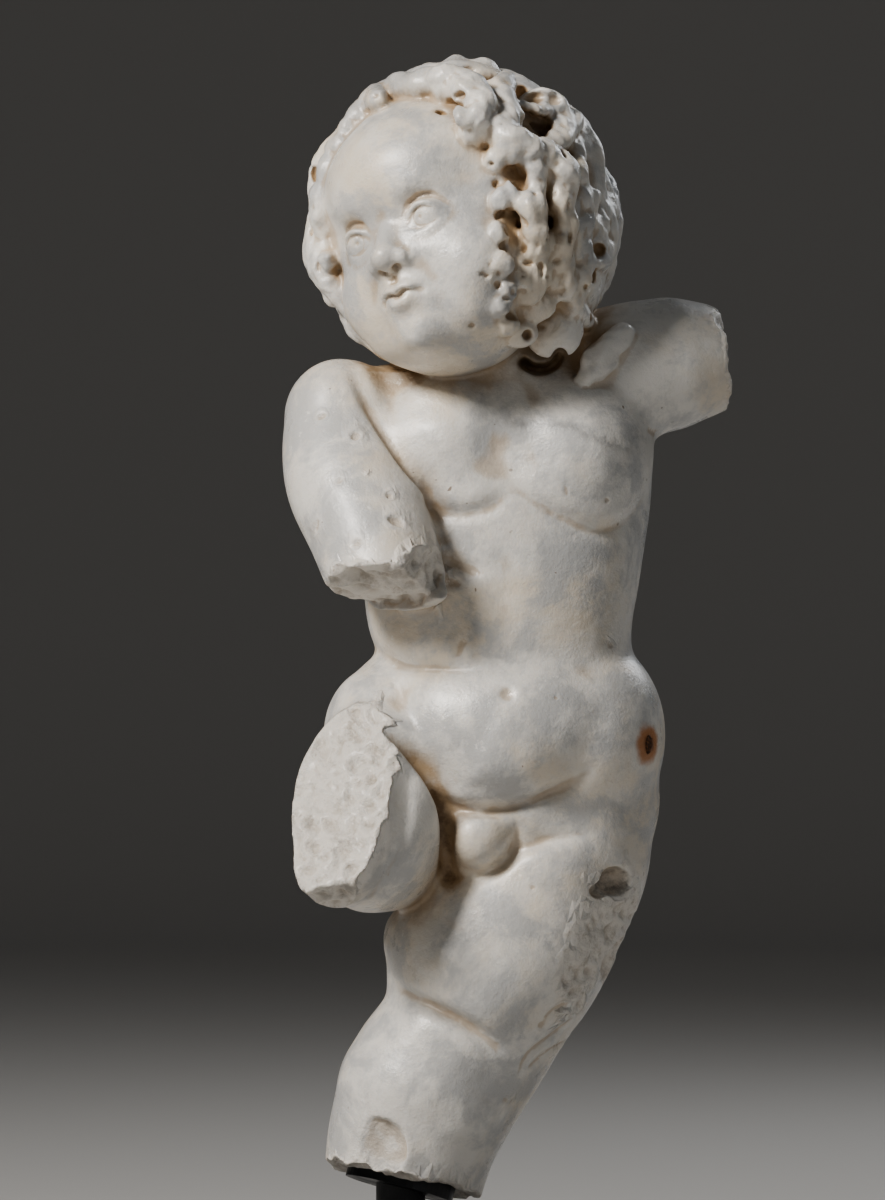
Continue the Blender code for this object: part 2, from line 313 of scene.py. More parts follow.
breaks = dict(
    coarse=(19, 3.4), middle=(10, 3.2), fine=(3.4, 0.7),          # length and height of the relief
    gridSteps=90, streak=0.5, ragged=0.12, raggedSize=14, cutShort=7,
    blocks=dict(          # point, the way it faces, width, height and depth of what is gone
        leg=((-21, -4, 8.4), (-0.22, -0.13, -0.965), (150, 150, 60)),
        rightArm=((-40, -78, 326.6), (-0.10, -0.33, -0.94), (82, 82, 40)),
        rightArmInner=((-13, -81, 338), (0.835, -0.486, -0.257), (60, 60, 30)),
        leftArm=((145, 24, 440), (0.97, 0.10, 0.14), (100, 100, 40)),
        thigh=((-68, -60, 202), (-0.458, -0.73, 0.507), (112, 136, 90)),
        thighUnder=((-62, -92, 166), (-0.12, -0.62, -0.78), (90, 66, 40)),
        outerThigh=((79, -33, 132), (0.66, -0.70, -0.27), (52, 84, 30)),
        outerThighEdge=((90, -9, 134), (0.86, -0.30, -0.41), (46, 76, 30)),
    ),
    hollows=[             # x, z, half width, half height, depth, turn in the picture
        (92, 164, 13, 8, 9, 12), (83, 160, 7, 4.4, 6, 0),
        (-24, 353, 6, 3.2, 2.4, 25), (-45, 341, 4, 2, 1.4, 0),
        (-33.5, 25, 16, 17, 5.5, 0), (-24, 29, 3, 6, 6, 0),
        (-63.5, 408, 3.4, 2.5, 1.5, -8), (-45.5, 398.5, 3.6, 4.8, 1.6, 20), (-53.5, 374, 2.8, 2, 1.3, 0),
        (-27.5, 366.5, 3, 3.2, 1.5, 0), (-65.5, 350, 1.6, 5.5, 2, 12), (-39, 378, 1.5, 1.2, 0.9, 0),
        (88, 288, 2.4, 2, 1.2, 0), (33, 50, 2.2, 1.8, 1.5, 0), (38, 52, 1.2, 1, 1, 0),
    ],
)

body = dict(
    trunk=[
        (46, 10, 160, 44, 42), (42, 9, 185, 72, 55), (35, 6, 222, 80, 58), (32, 0, 248, 75, 54),
        (33, -4, 280, 67, 47), (31, -3, 312, 72, 49), (32, 0, 344, 75, 51), (35, 3, 375, 76, 51),
        (35, 6, 400, 73, 48), (27, 7, 424, 54, 37), (14, 3, 446, 32, 32), (8, -4, 470, 30, 30),
    ],
    leftLeg=[
        (74, 8, 208, 40, 48), (62, 5, 180, 50, 52), (40, 0, 143, 56, 54), (23, -4, 110, 54, 51),
        (13, -6, 83, 47, 45), (-5, -6, 56, 48, 46), (-16, -5, 28, 45, 45), (-21, -4, 3, 42, 42),
        (-24, -4, -13, 39, 39),
    ],
    rightThigh=[
        (2, 16, 214, 46, 50), (-31, -22, 207, 42, 53), (-45, -46, 203, 34, 51),
        (-53, -74, 198, 27, 47), (-61, -96, 196, 24, 43), (-66, -122, 193, 20, 38),
    ],
    rightArm=[
        (-56, -2, 414, 24, 26), (-54, -10, 401, 31, 30), (-48, -28, 375, 35, 33),
        (-38, -48, 349, 33, 32), (-30, -64, 325, 31, 30), (-24, -76, 308, 29, 28),
    ],
    leftArm=[
        (78, 8, 424, 40, 36), (104, 12, 434, 37, 36), (124, 17, 438, 34, 34),
        (140, 21, 438, 31, 31), (150, 24, 437, 26, 26), (162, 28, 436, 18, 18),
    ],
    masses=[
        ((65, -1, 390), (47, 49, 48), (0, -8, 6)),        # left breast
        ((5, -2, 392), (46, 48, 46), (0, 8, -6)),         # right breast
        ((35, 1, 390), (50, 46, 50), (0, 0, 0)),          # breast bone
        ((82, 4, 404), (24, 37, 36), (0, -10, 0)),        # front of the left armpit
        ((70, -4, 246), (40, 46, 50), (0, 8, 0)),         # between belly and flank
        ((32, -7, 310), (66, 45, 50), (0, 0, 0)),         # upper belly
        ((34, -14, 246), (66, 52, 45), (0, -4, 0)),       # lower belly
        ((68, -2, 238), (50, 51, 58), (0, 8, 0)),         # left flank
        ((-10, 6, 240), (46, 47, 50), (0, -18, 0)),       # right flank
        ((-27, -6, 236), (35, 40, 42), (0, -22, 0)),      # top of the right thigh
        ((72, 8, 200), (42, 48, 50), (0, 24, 0)),         # left hip
        ((62, 34, 192), (44, 38, 46), (0, 14, 0)),        # left buttock
        ((0, 32, 202), (44, 38, 44), (0, -12, 0)),        # right buttock
        ((-53, -8, 408), (31, 31, 32), (0, 0, 0)),        # right shoulder
        ((-22, 4, 414), (44, 28, 24), (0, -8, 0)),        # right collar
        ((119, 14, 437), (34, 34, 36), (0, 0, 0)),        # left shoulder
        ((74, 8, 424), (50, 32, 34), (0, -20, 0)),        # left collar
        ((70, 34, 390), (34, 22, 40), (0, 10, 0)),        # left shoulder blade
        ((-4, 32, 380), (34, 22, 38), (0, -10, 0)),       # right shoulder blade
        ((18, -4, 119), (53, 52, 33), (0, 26, 0)),        # thigh above the fold
        ((-9, -7, 50), (48, 48, 44), (0, 26, 0)),         # knee below the fold
        ((20, -43, 187), (16, 15, 16), (0, 8, 0)),        # plain worn swelling under the belly
        ((-22, -36, 190), (24, 44, 42), (0, 10, -10)),    # roll beside the right thigh
        ((-36, -36, 177), (29, 42, 30), (0, 40, -10)),    # roll under the right thigh
    ],
    easing=30,
    creases=dict(              # drawn on the front; swell raises the skin left and right of a line's way
        leftBreast=dict(path=[(33, 374), (45, 365), (63, 355), (80, 348.5), (95, 353), (107, 366)],
                        width=3.6, depth=3, swell=(5.5, 0, 13)),
        rightBreast=dict(path=[(-14, 365), (0, 358.5), (11, 357), (26, 361), (35, 370)],
                         width=3.4, depth=2.6, swell=(4.5, 0, 12)),
        breastBone=dict(path=[(28, 402), (30, 386), (35, 370)], width=9, depth=2),
        armLine=dict(path=[(-49, 439), (-38, 414), (-21, 386), (-7, 365), (1, 348)], width=4, depth=6),
        waist=dict(path=[(-42, 291), (-28, 281), (-19, 277), (-4, 276), (14, 275)], width=3, depth=3,
                   swell=(1.5, 2.4, 9)),
        roll=dict(path=[(-17.5, 226), (-18, 210), (-19, 196), (-24, 178), (-38, 157)], width=2.2, depth=1.8),
        navel=dict(path=[(33, 264), (34, 262)], width=3.2, depth=4.6),
        navelBelow=dict(path=[(33, 255), (36, 250)], width=7, depth=1),
        bellyFold=dict(path=[(-12, 224), (-2, 209), (14, 202.5), (38, 204.5), (63, 214), (80, 224)],
                       width=3.6, depth=5.5, swell=(5.5, 0, 15)),
        groinCleft=dict(path=[(-38, 253), (-21, 238), (-6, 219), (0, 200), (2, 174), (9, 161)],
                        width=4.4, depth=10, swell=(2, 2, 9)),
        swellingSide=dict(path=[(38, 200), (39, 188), (35, 177), (26, 170), (15, 168)], width=3, depth=3.4),
        thighTop=dict(path=[(34, 179), (44, 183), (57, 187), (78, 190)], width=3.6, depth=2.6,
                      swell=(0, 3, 12)),
        kneeFold=dict(path=[(-26, 109), (-16, 104), (-5, 99.5), (8, 93), (20, 85), (32, 75)],
                      width=3.2, depth=6.5, swell=(5, 3.6, 12)),
        dimple=dict(path=[(86, 290), (89, 287)], width=3.5, depth=1.8),
        kneePan=dict(path=[(-34, 47), (-12, 40), (10, 44)], width=9, depth=1.4),
        collarLeft=dict(path=[(38, 420), (58, 416), (82, 414)], width=8, depth=1.6),
        collarRight=dict(path=[(20, 416), (0, 414), (-22, 412)], width=8, depth=1.6),
        ribs=dict(path=[(33, 345), (32, 320), (33, 292)], width=8, depth=1.3),
    ),
    backCreases=dict(          # seen from behind, so x runs the other way
        spine=dict(path=[(-20, 425), (-30, 380), (-34, 330), (-35, 280), (-34, 250)], width=8, depth=5),
        cleft=dict(path=[(-34, 246), (-32, 220), (-31, 190), (-28, 168)], width=5, depth=10, lip=0.2),
        leftSeat=dict(path=[(-36, 164), (-55, 152), (-80, 156), (-98, 172)], width=4, depth=5,
                      swell=(0, 4, 14)),
        rightSeat=dict(path=[(-26, 168), (-4, 158), (18, 162)], width=5, depth=5),
        leftDimple=dict(path=[(-58, 262)], width=7, depth=2.5),
        rightDimple=dict(path=[(-12, 262)], width=7, depth=2.5),
        kneeBack=dict(path=[(-30, 88), (-8, 92), (16, 98)], width=4, depth=5, swell=(2.5, 2.5, 10)),
        leftBlade=dict(path=[(-52, 410), (-50, 384), (-62, 358)], width=7, depth=2.5),
        rightBlade=dict(path=[(-14, 405), (-16, 380), (-4, 354)], width=7, depth=2.5),
    ),
)


def makeBody():
    work = bmesh.new()
    limb(work, body["trunk"], (1, 0, 0))
    limb(work, body["leftLeg"], (1, 0, 0))
    limb(work, body["rightThigh"], (1, 0, 0))
    limb(work, body["leftArm"], (0, 0, 1))
    for centre, radii, turn in body["masses"]:
        mass(work, centre, radii, turn)
    arm = bmesh.new()
    limb(arm, body["rightArm"], (1, 0, 0))
    point, away, _ = breaks["blocks"]["rightArm"]          # cut short before it joins the trunk
    bmesh.ops.bisect_plane(arm, geom=arm.verts[:] + arm.edges[:] + arm.faces[:], plane_no=away,
                           plane_co=Vector(point) + Vector(away) * breaks["cutShort"], clear_outer=True)
    bmesh.ops.holes_fill(arm, edges=arm.edges)
    work.from_mesh(meshFrom(arm, "arm"))
    bmesh.ops.recalc_face_normals(work, faces=work.faces)
    mesh = oneSkin(meshFrom(work, "bodyClay"), figure["bodyCell"])
    movePoints(mesh, eased(pointsOf(mesh), edgesOf(mesh), body["easing"]))
    pressAll(mesh, body["creases"], upright)
    pressAll(mesh, body["backCreases"], fromBehind)
    movePoints(mesh, eased(pointsOf(mesh), edgesOf(mesh), 2))
    return mesh


bodyMesh = makeBody()
print("trunk and limbs modelled,", len(bodyMesh.polygons), "faces")

# Head: a calm child's face on plain proportions, in the head's own axes

face = dict(
    masses=[
        ((0, 8, 14), (64, 73, 64), False),            # skull
        ((0, 3, 10), (68, 69, 72), False),            # hair under the locks
        ((0, 20, 5), (69, 67, 71), False),            # back of the hair
        ((40, 18, -24), (25, 42, 38), True),          # hair by the cheek, on both sides
        ((0, 34, -30), (54, 44, 36), False),          # hair at the nape
        ((0, -18, 24), (56, 54, 46), False),          # forehead
        ((0, -18, -16), (54, 52, 56), False),         # the face's egg
        ((28, -38, -30), (25, 25, 26), True),         # cheek
        ((0, -51, -57), (16, 18, 14), False),         # chin
        ((20, -34, -48), (25, 25, 21), True),         # jowl
        ((0, -57, -38), (21, 15, 16), False),         # rise of the mouth
        ((0, -20, -58), (38, 38, 20), False),         # fold under the chin
    ],
    baseCell=2.2, easing=38,
    sockets=dict(
        eye=dict(path=[(14, -1), (22, 1), (30, -2)], width=9, depth=6.5, pair=True),
        temple=dict(path=[(44, 12)], width=12, depth=2, pair=True),
        bridge=dict(path=[(-6, 3), (6, 3)], width=8, depth=2.5),
        smile=dict(path=[(14, -24), (18, -33), (19, -41)], width=5, depth=1.6, pair=True),
        underLip=dict(path=[(-8, -50.5), (0, -51.5), (8, -50.5)], width=5, depth=2.2),
        brow=dict(path=[(9, 10), (17, 14.5), (26, 14.5), (33, 10)], width=6, depth=-1.7, pair=True),
    ),
    nose=[(0, -57, 9, 5, 4.5), (0, -61, 0, 5.2, 5), (0, -65.5, -8, 6, 6), (0, -70.5, -15, 7, 7)],
    features=[
        ((0, -73, -18.5), (8, 8, 7.4), False),                 # tip of the nose
        ((8.8, -67.5, -20.8), (6, 8, 5.4), True),              # wing
        ((0, -70, -24), (3.6, 6, 3.6), False),                 # between the nostrils
        ((4.6, -68.6, -36.4), (7.4, 5, 3.1), True, (0, 9, 12)),          # upper lip
        ((0, -69.8, -37.4), (3.4, 4, 2.8), False),
        ((0, -67.4, -43), (8.4, 5, 3.7), False),               # lower lip
        ((21.5, -52.5, -2), (11.5, 11.5, 11), True),           # eyeball
    ],
    lids=[                                                # x, y, z, half width, half depth
        [(10.5, -58, -5, 1.5, 1.5), (15.5, -62.8, 1.3, 1.9, 2.1), (22, -64, 4, 2.1, 2.3),
         (28, -61.8, 2.4, 1.9, 2.1), (33, -55.5, -3.4, 1.5, 1.5)],
        [(10.5, -58, -5, 1.3, 1.3), (16, -61.3, -8.4, 1.4, 1.5), (23, -61.8, -9.8, 1.5, 1.6),
         (29, -59.5, -7.8, 1.4, 1.5), (33, -55.5, -3.4, 1.3, 1.3)],
    ],
    featureEasing=5,
    lines=dict(
        mouth=dict(path=[(-11, -39.6), (-5, -38.9), (0, -40.2), (5, -38.9), (11, -39.6)],
                   width=1.6, depth=3),
        mouthEnd=dict(path=[(12, -39.6), (13, -40)], width=2.4, depth=2, pair=True),
        lipGroove=dict(path=[(0, -28.5), (0, -33)], width=2.4, depth=1.5, lip=0.35),
        nostril=dict(path=[(3.9, -25.6), (5.2, -25.2)], width=1.9, depth=3.4, pair=True),
        wing=dict(path=[(9.5, -15), (13.5, -18.5), (13.4, -24)], width=2.2, depth=1.6, pair=True),
        lidLine=dict(path=[(11, 0), (15.5, 5.6), (22, 8.6), (29, 6.8), (35, 0)],
                     width=1.6, depth=1.7, pair=True),
        lidEdge=dict(path=[(11.5, -4.6), (15.5, -0.9), (22, 1.6), (28, 0.2), (32.5, -3.6)],
                     width=1.1, depth=1.2, pair=True),
        lowerLidEdge=dict(path=[(12, -6), (17, -7.6), (23, -8.2), (29, -6.6), (32, -4.4)],
                          width=1.1, depth=0.9, pair=True),
        underEye=dict(path=[(13, -12.5), (22, -15), (31, -12.5)], width=3, depth=0.9, pair=True),
        chinDimple=dict(path=[(0, -59)], width=3, depth=0.8),
        pupil=dict(path=[(21, -2.6)], width=1.5, depth=1.2, pair=True),
    ),
    iris=dict(centre=(21, -3), radius=4.1, sides=12, width=0.8, depth=0.6),
)


def paired(lines):
    both = {}
    for name, line in lines.items():
        both[name] = line
        if line.get("pair"):
            both[name + "Right"] = dict(line, path=[(-x, z) for x, z in line["path"]])
    return both


def irisLine():
    iris = face["iris"]
    x, z = iris["centre"]
    turns = np.linspace(0, 2 * math.pi, iris["sides"] + 1)
    ring = [(x + iris["radius"] * math.cos(t), z + iris["radius"] * math.sin(t)) for t in turns]
    return dict(path=ring, width=iris["width"], depth=iris["depth"], pair=True)


def headMasses(work, rows):
    for (x, y, z), radii, pair, *turns in rows:
        a, b, c = turns[0] if turns else (0, 0, 0)
        mass(work, (x, y, z), radii, (a, b, c), inHead)
        if pair:
            mass(work, (-x, y, z), radii, (a, -b, -c), inHead)


def makeHead():
    work = bmesh.new()
    headMasses(work, face["masses"])
    mesh = oneSkin(meshFrom(work, "headClay"), face["baseCell"])
    movePoints(mesh, eased(pointsOf(mesh), edgesOf(mesh), face["easing"]))
    pressAll(mesh, paired(face["sockets"]), inHead)
    work = bmesh.new()
    work.from_mesh(mesh)
    limb(work, face["nose"], (1, 0, 0), inHead, sides=24, spacing=2)
    headMasses(work, face["features"])
    for rings in face["lids"]:
        limb(work, rings, (0, 0, 1), inHead, sides=16, spacing=1.5)
        limb(work, [(-ring[0], *ring[1:]) for ring in rings], (0, 0, 1), inHead, sides=16, spacing=1.5)
    mesh = oneSkin(meshFrom(work, "headClay"), figure["headCell"])
    movePoints(mesh, eased(pointsOf(mesh), edgesOf(mesh), face["featureEasing"]))
    return mesh


headMesh = makeHead()
print("head modelled,", len(headMesh.polygons), "faces")

# Hair: worn ropes and lumps over a cap, then drilled; the front ones stand where the carving has them

hair = dict(
    capCentre=(0, 6, 8), capRadii=(71, 79, 75),
    lobes=3, lobeDepth=0.10, profileSides=24, spacing=1.8, twist=1.1, pinch=0.10, sink=1.4, melting=3,
    faceLift=0.7, faceFrom=15, carving=0.5, carvingSize=8.5, drillDepth=0.62,
    strand=dict(width=5.6, depth=1.1, sway=4.5, swayLength=9.5, crown=30, zone=(0.9, 1.4), bare=1.2),
    lumpFacets=3, pinchReach=5, tiltStep=0.2, drillCell=0.7, drillRough=(0.16, 1.8), drillSlant=1.2,
    ropes=dict(              # x, z, lift off the cap, radius; each row is a bead
        forelock=[(-22, 579, 0, 6), (-11, 582, 3, 8.5), (3, 582, 6, 10), (14, 577, 9, 9.5),
                  (20.5, 568.5, 10, 8.5), (18.5, 562, 11, 6.5), (10.5, 561.5, 11, 5), (7.5, 568, 10, 3.6)],
        forelockFlank=[(21, 568, 3, 8), (17, 557, 3, 9), (14, 549, 1, 7)],
        crown=[(-20, 587, -2, 8), (-8, 591, 0, 9.5), (7, 594, 2, 10), (22, 591.5, 4, 8.5), (32, 588, 4, 7)],
        crownRim=[(35, 587, 6, 5), (31, 583, 8, 4.2), (25, 581, 8, 3.8)],
        first=[(26, 582, 4, 7), (31, 572, 6, 7.5), (33, 563, 6, 7.5), (31, 555, 6, 8.5), (36, 548.5, 6, 10.5),
               (44, 545, 7, 9), (48.5, 535, 6, 6.5), (48, 525, 4, 5.5), (46.5, 515.5, 7, 8),
               (48.5, 503.5, 6, 7), (47.5, 493, 4, 6.5), (45, 485, 3, 6)],
        firstShoulder=[(38, 516, 2, 5), (44, 515, 5, 6.5)],
        second=[(47, 552, 5, 7), (54, 543, 7, 8), (62, 534, 7, 10.5), (61, 518, 6, 7.5), (64, 508, 6, 7),
                (62, 497.5, 6, 7), (61, 488, 5, 7), (62, 478, 5, 6.5), (61, 469, 4, 6.5)],
        third=[(66, 573, 3, 6.5), (66.5, 562, 5, 7.5), (60, 551, 4, 6.5), (53, 547, 4, 6)],
        thirdOuter=[(68, 556, 3, 5.4), (70, 545, 3, 5.4), (70, 535, 5, 6), (72, 522, 3, 7.2),
                    (73, 508, 3, 7.2), (70.5, 497, 3, 7), (73, 489, 2, 6.5), (70, 480, 3, 6.5),
                    (67, 469, 3, 6), (72, 461, 3, 6.5), (79, 455, 2, 6)],
        oval=[(79.5, 516, 2, 4), (82, 509.5, 4, 5.4), (85, 502, 2, 4.4)],
        temple=[(-20, 581, 0, 7), (-31, 583, 1, 7.5), (-42, 580.5, 1, 8), (-51, 573, 0, 7.5),
                (-57, 566, 0, 6)],
        temple2=[(-48, 579, -1, 6.5), (-58, 568, -1, 7.5), (-64, 556, -1, 7.5),
                 (-68.5, 544, -1, 7), (-72, 533, -1, 6)],
        temple3=[(-63, 556, -2, 5.5), (-69, 541, -1, 7), (-73, 527, -1, 7.5), (-73.5, 513, -1, 7),
                 (-72, 500, 0, 6)],
        temple4=[(-68, 502, -1, 6), (-69.5, 488, 0, 7), (-71.5, 476, 1, 7.5), (-70, 464, 3, 7.5),
                 (-65, 455, 4, 6)],
        underChinLock=[(-60, 492, 1, 5.5), (-62, 480, 1, 6), (-61, 468, 2, 6), (-60, 459, 3, 5.5)],
    ),
    strands=dict(            # smooth, long ones
        outer=[(58, 588, 0, 5.5), (66, 577, 0, 6), (73, 562, 0, 7), (79, 546, -1, 7.5), (84, 530, -2, 7),
               (86.5, 514, -3, 6)],
        outerInner=[(70, 560, 1, 4), (74, 546, 1, 4.8), (78, 531, 1, 4.6), (80, 520, 1, 4)],
        rim=[(87, 522, -2, 5), (89, 508, -1, 6), (89.5, 495, 0, 6.5), (90, 486, 1, 7), (87, 476, 1, 7),
             (81, 467, 1, 6.5)],
        bridge=[(72, 489, 3, 2.8), (79, 488, 4, 2.8), (86, 489, 3, 3.2)],
        hollowRidge=[(36, 571, 3, 3.2), (44, 569.5, 5, 3), (52, 567.5, 6, 3), (59, 569, 5, 3),
                     (66, 572, 3, 3.4)],
        hollowTop=[(34, 591, 0, 6), (46, 589.5, 1, 6.5), (57, 585, 1, 6.5), (66, 577, 0, 5.5)],
        hollowLeft=[(34, 584, 4, 5.5), (33, 576, 5, 5), (36, 566, 6, 5), (41, 556, 6, 6)],
        hollowRight=[(66, 577, 2, 5), (65, 568, 4, 6), (60, 557, 4, 6)],
    ),
    lumps=[                  # x, z, lift, radii across, in and up, turn in the picture
        (58, 453.5, 9, (16, 8, 16), 20), (52, 582, -5, (16, 12, 10), 0),
        (43, 486, 0, (14, 8, 22), 0), (46, 466, 1, (13, 8, 10), 0), (31, 486, -1, (7, 6, 7), 0),
        (39, 478, 2, (7, 7, 6), 0), (33, 472, 0, (6, 6, 6), 0), (47, 477, 3, (6, 6, 6), 0),
        (30, 464, -1, (6, 6, 6), 0), (40, 451, 0, (10, 8, 8), 0), (33, 455, -1, (8, 7, 7), 0),
        (29, 501, -1, (6, 6, 8), 0), (36, 522, 0, (6, 6, 8), 0), (30, 519, -1, (5, 5, 7), 0),
        (54, 496, 2, (6, 6, 9), 0), (55, 482, 1, (7, 6, 9), 0), (69, 474, 0, (7, 6, 7), 0),
        (28, 541, -1, (6, 6, 7), 0), (-60, 557, -2, (6, 7, 8), 0), (-65, 520, -2, (6, 8, 12), 0),
        (57, 520, 0, (8, 7, 14), 0), (66, 505, 0, (9, 7, 22), 0), (52, 566, -1, (16, 9, 15), 0),
    ],
    curtain=dict(count=20, azFrom=114, azTo=302, root=87, tips=(-52, -38), waves=4.2, radius=7.6,
                 lift=0.5, rounds=3.4, seed=1.3),
    under=dict(count=15, azFrom=104, azTo=290, root=-6, tips=(-54, -46), waves=5, radius=6.6,
               lift=1.5, rounds=2.4, seed=5.1),
    fall=dict(steps=50, seedStep=1.7, azSway=3, tipSway=5, ripple=2.2, flare=2, thinnest=0.66,
              swelling=0.4, belly=(0.1, 0.82)),
    crownCurls=dict(count=11, steps=26, elevation=89, radius=7, lift=0.5, flare=2, reach=36, sweep=70,
                    thinnest=0.6, swelling=0.5),
    shoulderLocks=[
        [(99, -18, 456, 5), (92, -23, 449.5, 6.6), (85, -27, 443, 7), (78, -30, 436, 6.5),
         (74, -31, 431, 4.5)],
        [(92, -22, 445, 4), (87, -26, 440, 6), (81, -29.5, 434, 6.4), (75, -31.5, 428, 5),
         (71, -32, 424, 3.6)],
    ],
    pits=[                   # x, z, half width, half height, depth, turn in the picture
        (-0.5, 566, 3.6, 2.2, 9, 20), (8.5, 573.5, 5, 2.4, 6, -20), (14, 590, 10, 3, 4, -22),
        (41, 579, 4.4, 4, 12, -40), (49, 576, 8, 4, 9, -12), (59, 575, 5, 4.2, 8, 10),
        (43.5, 560, 3.8, 4.6, 10, 0), (51, 558, 7, 4.2, 7, 6), (62.5, 545.5, 2, 6, 6, -8),
        (40, 527.5, 5, 3.6, 10, 25), (24.5, 537.5, 3.6, 1.5, 6, -32), (30.5, 512, 4.6, 2.2, 8, -50),
        (34, 503.5, 2.2, 3.2, 8, -20), (32, 494.5, 3.7, 3.6, 6, 0), (55.6, 509, 1.8, 3.8, 8, 0),
        (55.4, 500.5, 1.8, 3.8, 8, 0), (82, 495, 4.2, 3.4, 12, 20), (79, 482, 2.6, 5, 12, -14),
        (74.5, 475, 1.6, 3, 8, -20), (78.5, 460.5, 3, 3, 12, 0), (37.5, 471, 2.4, 3, 7, -10),
        (34, 467.5, 3.4, 2, 6, 10), (36, 459.8, 4.8, 3.2, 8, 0), (44.7, 449.6, 3.3, 3.2, 10, 0),
        (-67.5, 537, 2.6, 5.5, 9, -10), (59, 523, 1.4, 2.2, 5, 0), (66.5, 500, 1.5, 5, 6, 6),
        (51, 485, 1.6, 3, 6, -10), (42, 494, 2, 2.6, 5, 0), (66, 516, 1.6, 4, 6, 10),
        (-36, 576.5, 3, 1.6, 5, 10), (-69, 507, 1.8, 4, 7, 0), (-65, 487, 1.6, 4, 6, 0),
        (-60, 575, 1.6, 3, 5, 35), (48, 522, 1.6, 1.8, 4, 0), (40, 507, 2, 3, 6, 0),
        (28, 528, 2, 3, 5, 20), (43, 472, 1.6, 1.6, 4, 0), (29, 480, 2, 1.6, 4, 0),
    ],
    pores=dict(count=46, across=(29, 54), up=(464, 500), size=(0.8, 1.9), depth=2.6, wide=1.2, tall=0.9,
               turn=40, spread=1.6, seeds=(3.1, 7.7, 0.4)),
    gap=dict(path=[(43, 436.5), (48, 433.5), (54, 433.5), (59, 436), (61.5, 440)],
             y=-42, radius=4, depth=30, spacing=1.5),
)


def capPoint(local):
    return inHead[0] @ (Vector(hair["capCentre"]) + Vector(local)) + inHead[1]


def capAt(azimuth, elevation, lift):
    a, e = math.radians(azimuth), math.radians(elevation)
    way = (math.sin(a) * math.cos(e), -math.cos(a) * math.cos(e), math.sin(e))
    return capPoint([w * (r + lift) for w, r in zip(way, hair["capRadii"])])


def capFromFront(x, z, lift):
    start = inHead[0].transposed() @ (Vector((x, -200, z)) - inHead[1]) - Vector(hair["capCentre"])
    ahead = inHead[0].transposed() @ Vector((0, 1, 0))
    radii = [r + lift for r in hair["capRadii"]]
    a = Vector([v / r for v, r in zip(start, radii)])
    b = Vector([v / r for v, r in zip(ahead, radii)])
    half = a.dot(b) / b.dot(b)
    inside = half * half - (a.dot(a) - 1) / b.dot(b)
    spot = a + b * (-half - math.sqrt(max(inside, 0)))
    if inside < 0:
        spot.normalize()
    return capPoint([v * r for v, r in zip(spot, radii)])


def onHair(x, z, lift):
    spot = capFromFront(x, z, lift)          # off the cap, or off the face where that stands out further
    hit, out = headTree.ray_cast(Vector((x, figure["rayStart"], z)), Vector((0, 1, 0)))[:2]
    if hit and x > hair["faceFrom"]:
        onFace = hit + out * lift * hair["faceLift"]
        return onFace if onFace.y < spot.y else spot
    return spot


def lockProfile():
    data = bpy.data.curves.new("lockProfile", "CURVE")
    spline = data.splines.new("POLY")
    sides = hair["profileSides"]
    spline.points.add(sides - 1)
    for i, point in enumerate(spline.points):
        angle = 2 * math.pi * i / sides
        radius = 1 + hair["lobeDepth"] * (2 * abs(math.sin(hair["lobes"] * angle / 2)) - 1)
        point.co = (radius * math.cos(angle), radius * math.sin(angle), 0, 1)
    spline.use_cyclic_u = True
    return newObject("lockProfile", data)


def addLock(data, places, radii):
    places = np.array([list(place) for place in places])
    along = np.cumsum(np.r_[0, np.linalg.norm(np.diff(places, axis=0), axis=1)])
    fromEnd = np.clip(np.minimum(along, along[-1] - along) / np.array(radii), 0, 1)
    radii = np.array(radii) * np.sqrt(np.clip(1 - (1 - fromEnd) ** 2, 0.01, 1))
    spline = data.splines.new("POLY")
    spline.points.add(len(places) - 1)
    for i, (point, place, radius) in enumerate(zip(spline.points, places, radii)):
        point.co = (*place, 1)
        point.radius = radius
        point.tilt = hair["twist"] * math.sin(i * hair["tiltStep"])


def locksFromFront(data):
    for kind in ("ropes", "strands"):
        for rows in hair[kind].values():
            line = through(rows, hair["spacing"])
            beads = np.array(rows)[:, None, :2]
            gap = np.linalg.norm(line[None, :, :2] - beads, axis=2).min(0)
            pinched = np.clip(gap / hair["pinchReach"], 0, 1) if kind == "ropes" else np.zeros(len(line))
            places = [onHair(x, z, lift - hair["sink"] * p) for (x, z, lift, _), p in zip(line, pinched)]
            addLock(data, places, line[:, 3] * (1 - hair["pinch"] * pinched))


def curtain(data, rows):
    fall = hair["fall"]
    for i in range(rows["count"]):
        share = i / (rows["count"] - 1)
        sway = noise.noise(Vector((i * fall["seedStep"], rows["seed"], 0)))
        azimuth = rows["azFrom"] + (rows["azTo"] - rows["azFrom"]) * share + fall["azSway"] * sway
        tip = rows["tips"][0] + (rows["tips"][1] - rows["tips"][0]) * math.sin(math.pi * share)
        tip += fall["tipSway"] * sway
        way = 1 if i % 2 else -1
        places, radii = [], []
        for t in np.linspace(0, 1, fall["steps"]):
            turn = math.pi * (rows["rounds"] * t + sway)
            lift = rows["lift"] + fall["ripple"] * math.sin(2 * turn) + fall["flare"] * t
            azimuthHere = azimuth + way * rows["waves"] * math.sin(turn)
            places.append(capAt(azimuthHere, rows["root"] + (tip - rows["root"]) * t, lift))
            belly = math.sin(math.pi * (fall["belly"][0] + fall["belly"][1] * t))
            radii.append(rows["radius"] * (fall["thinnest"] + fall["swelling"] * belly))
        addLock(data, places, radii)


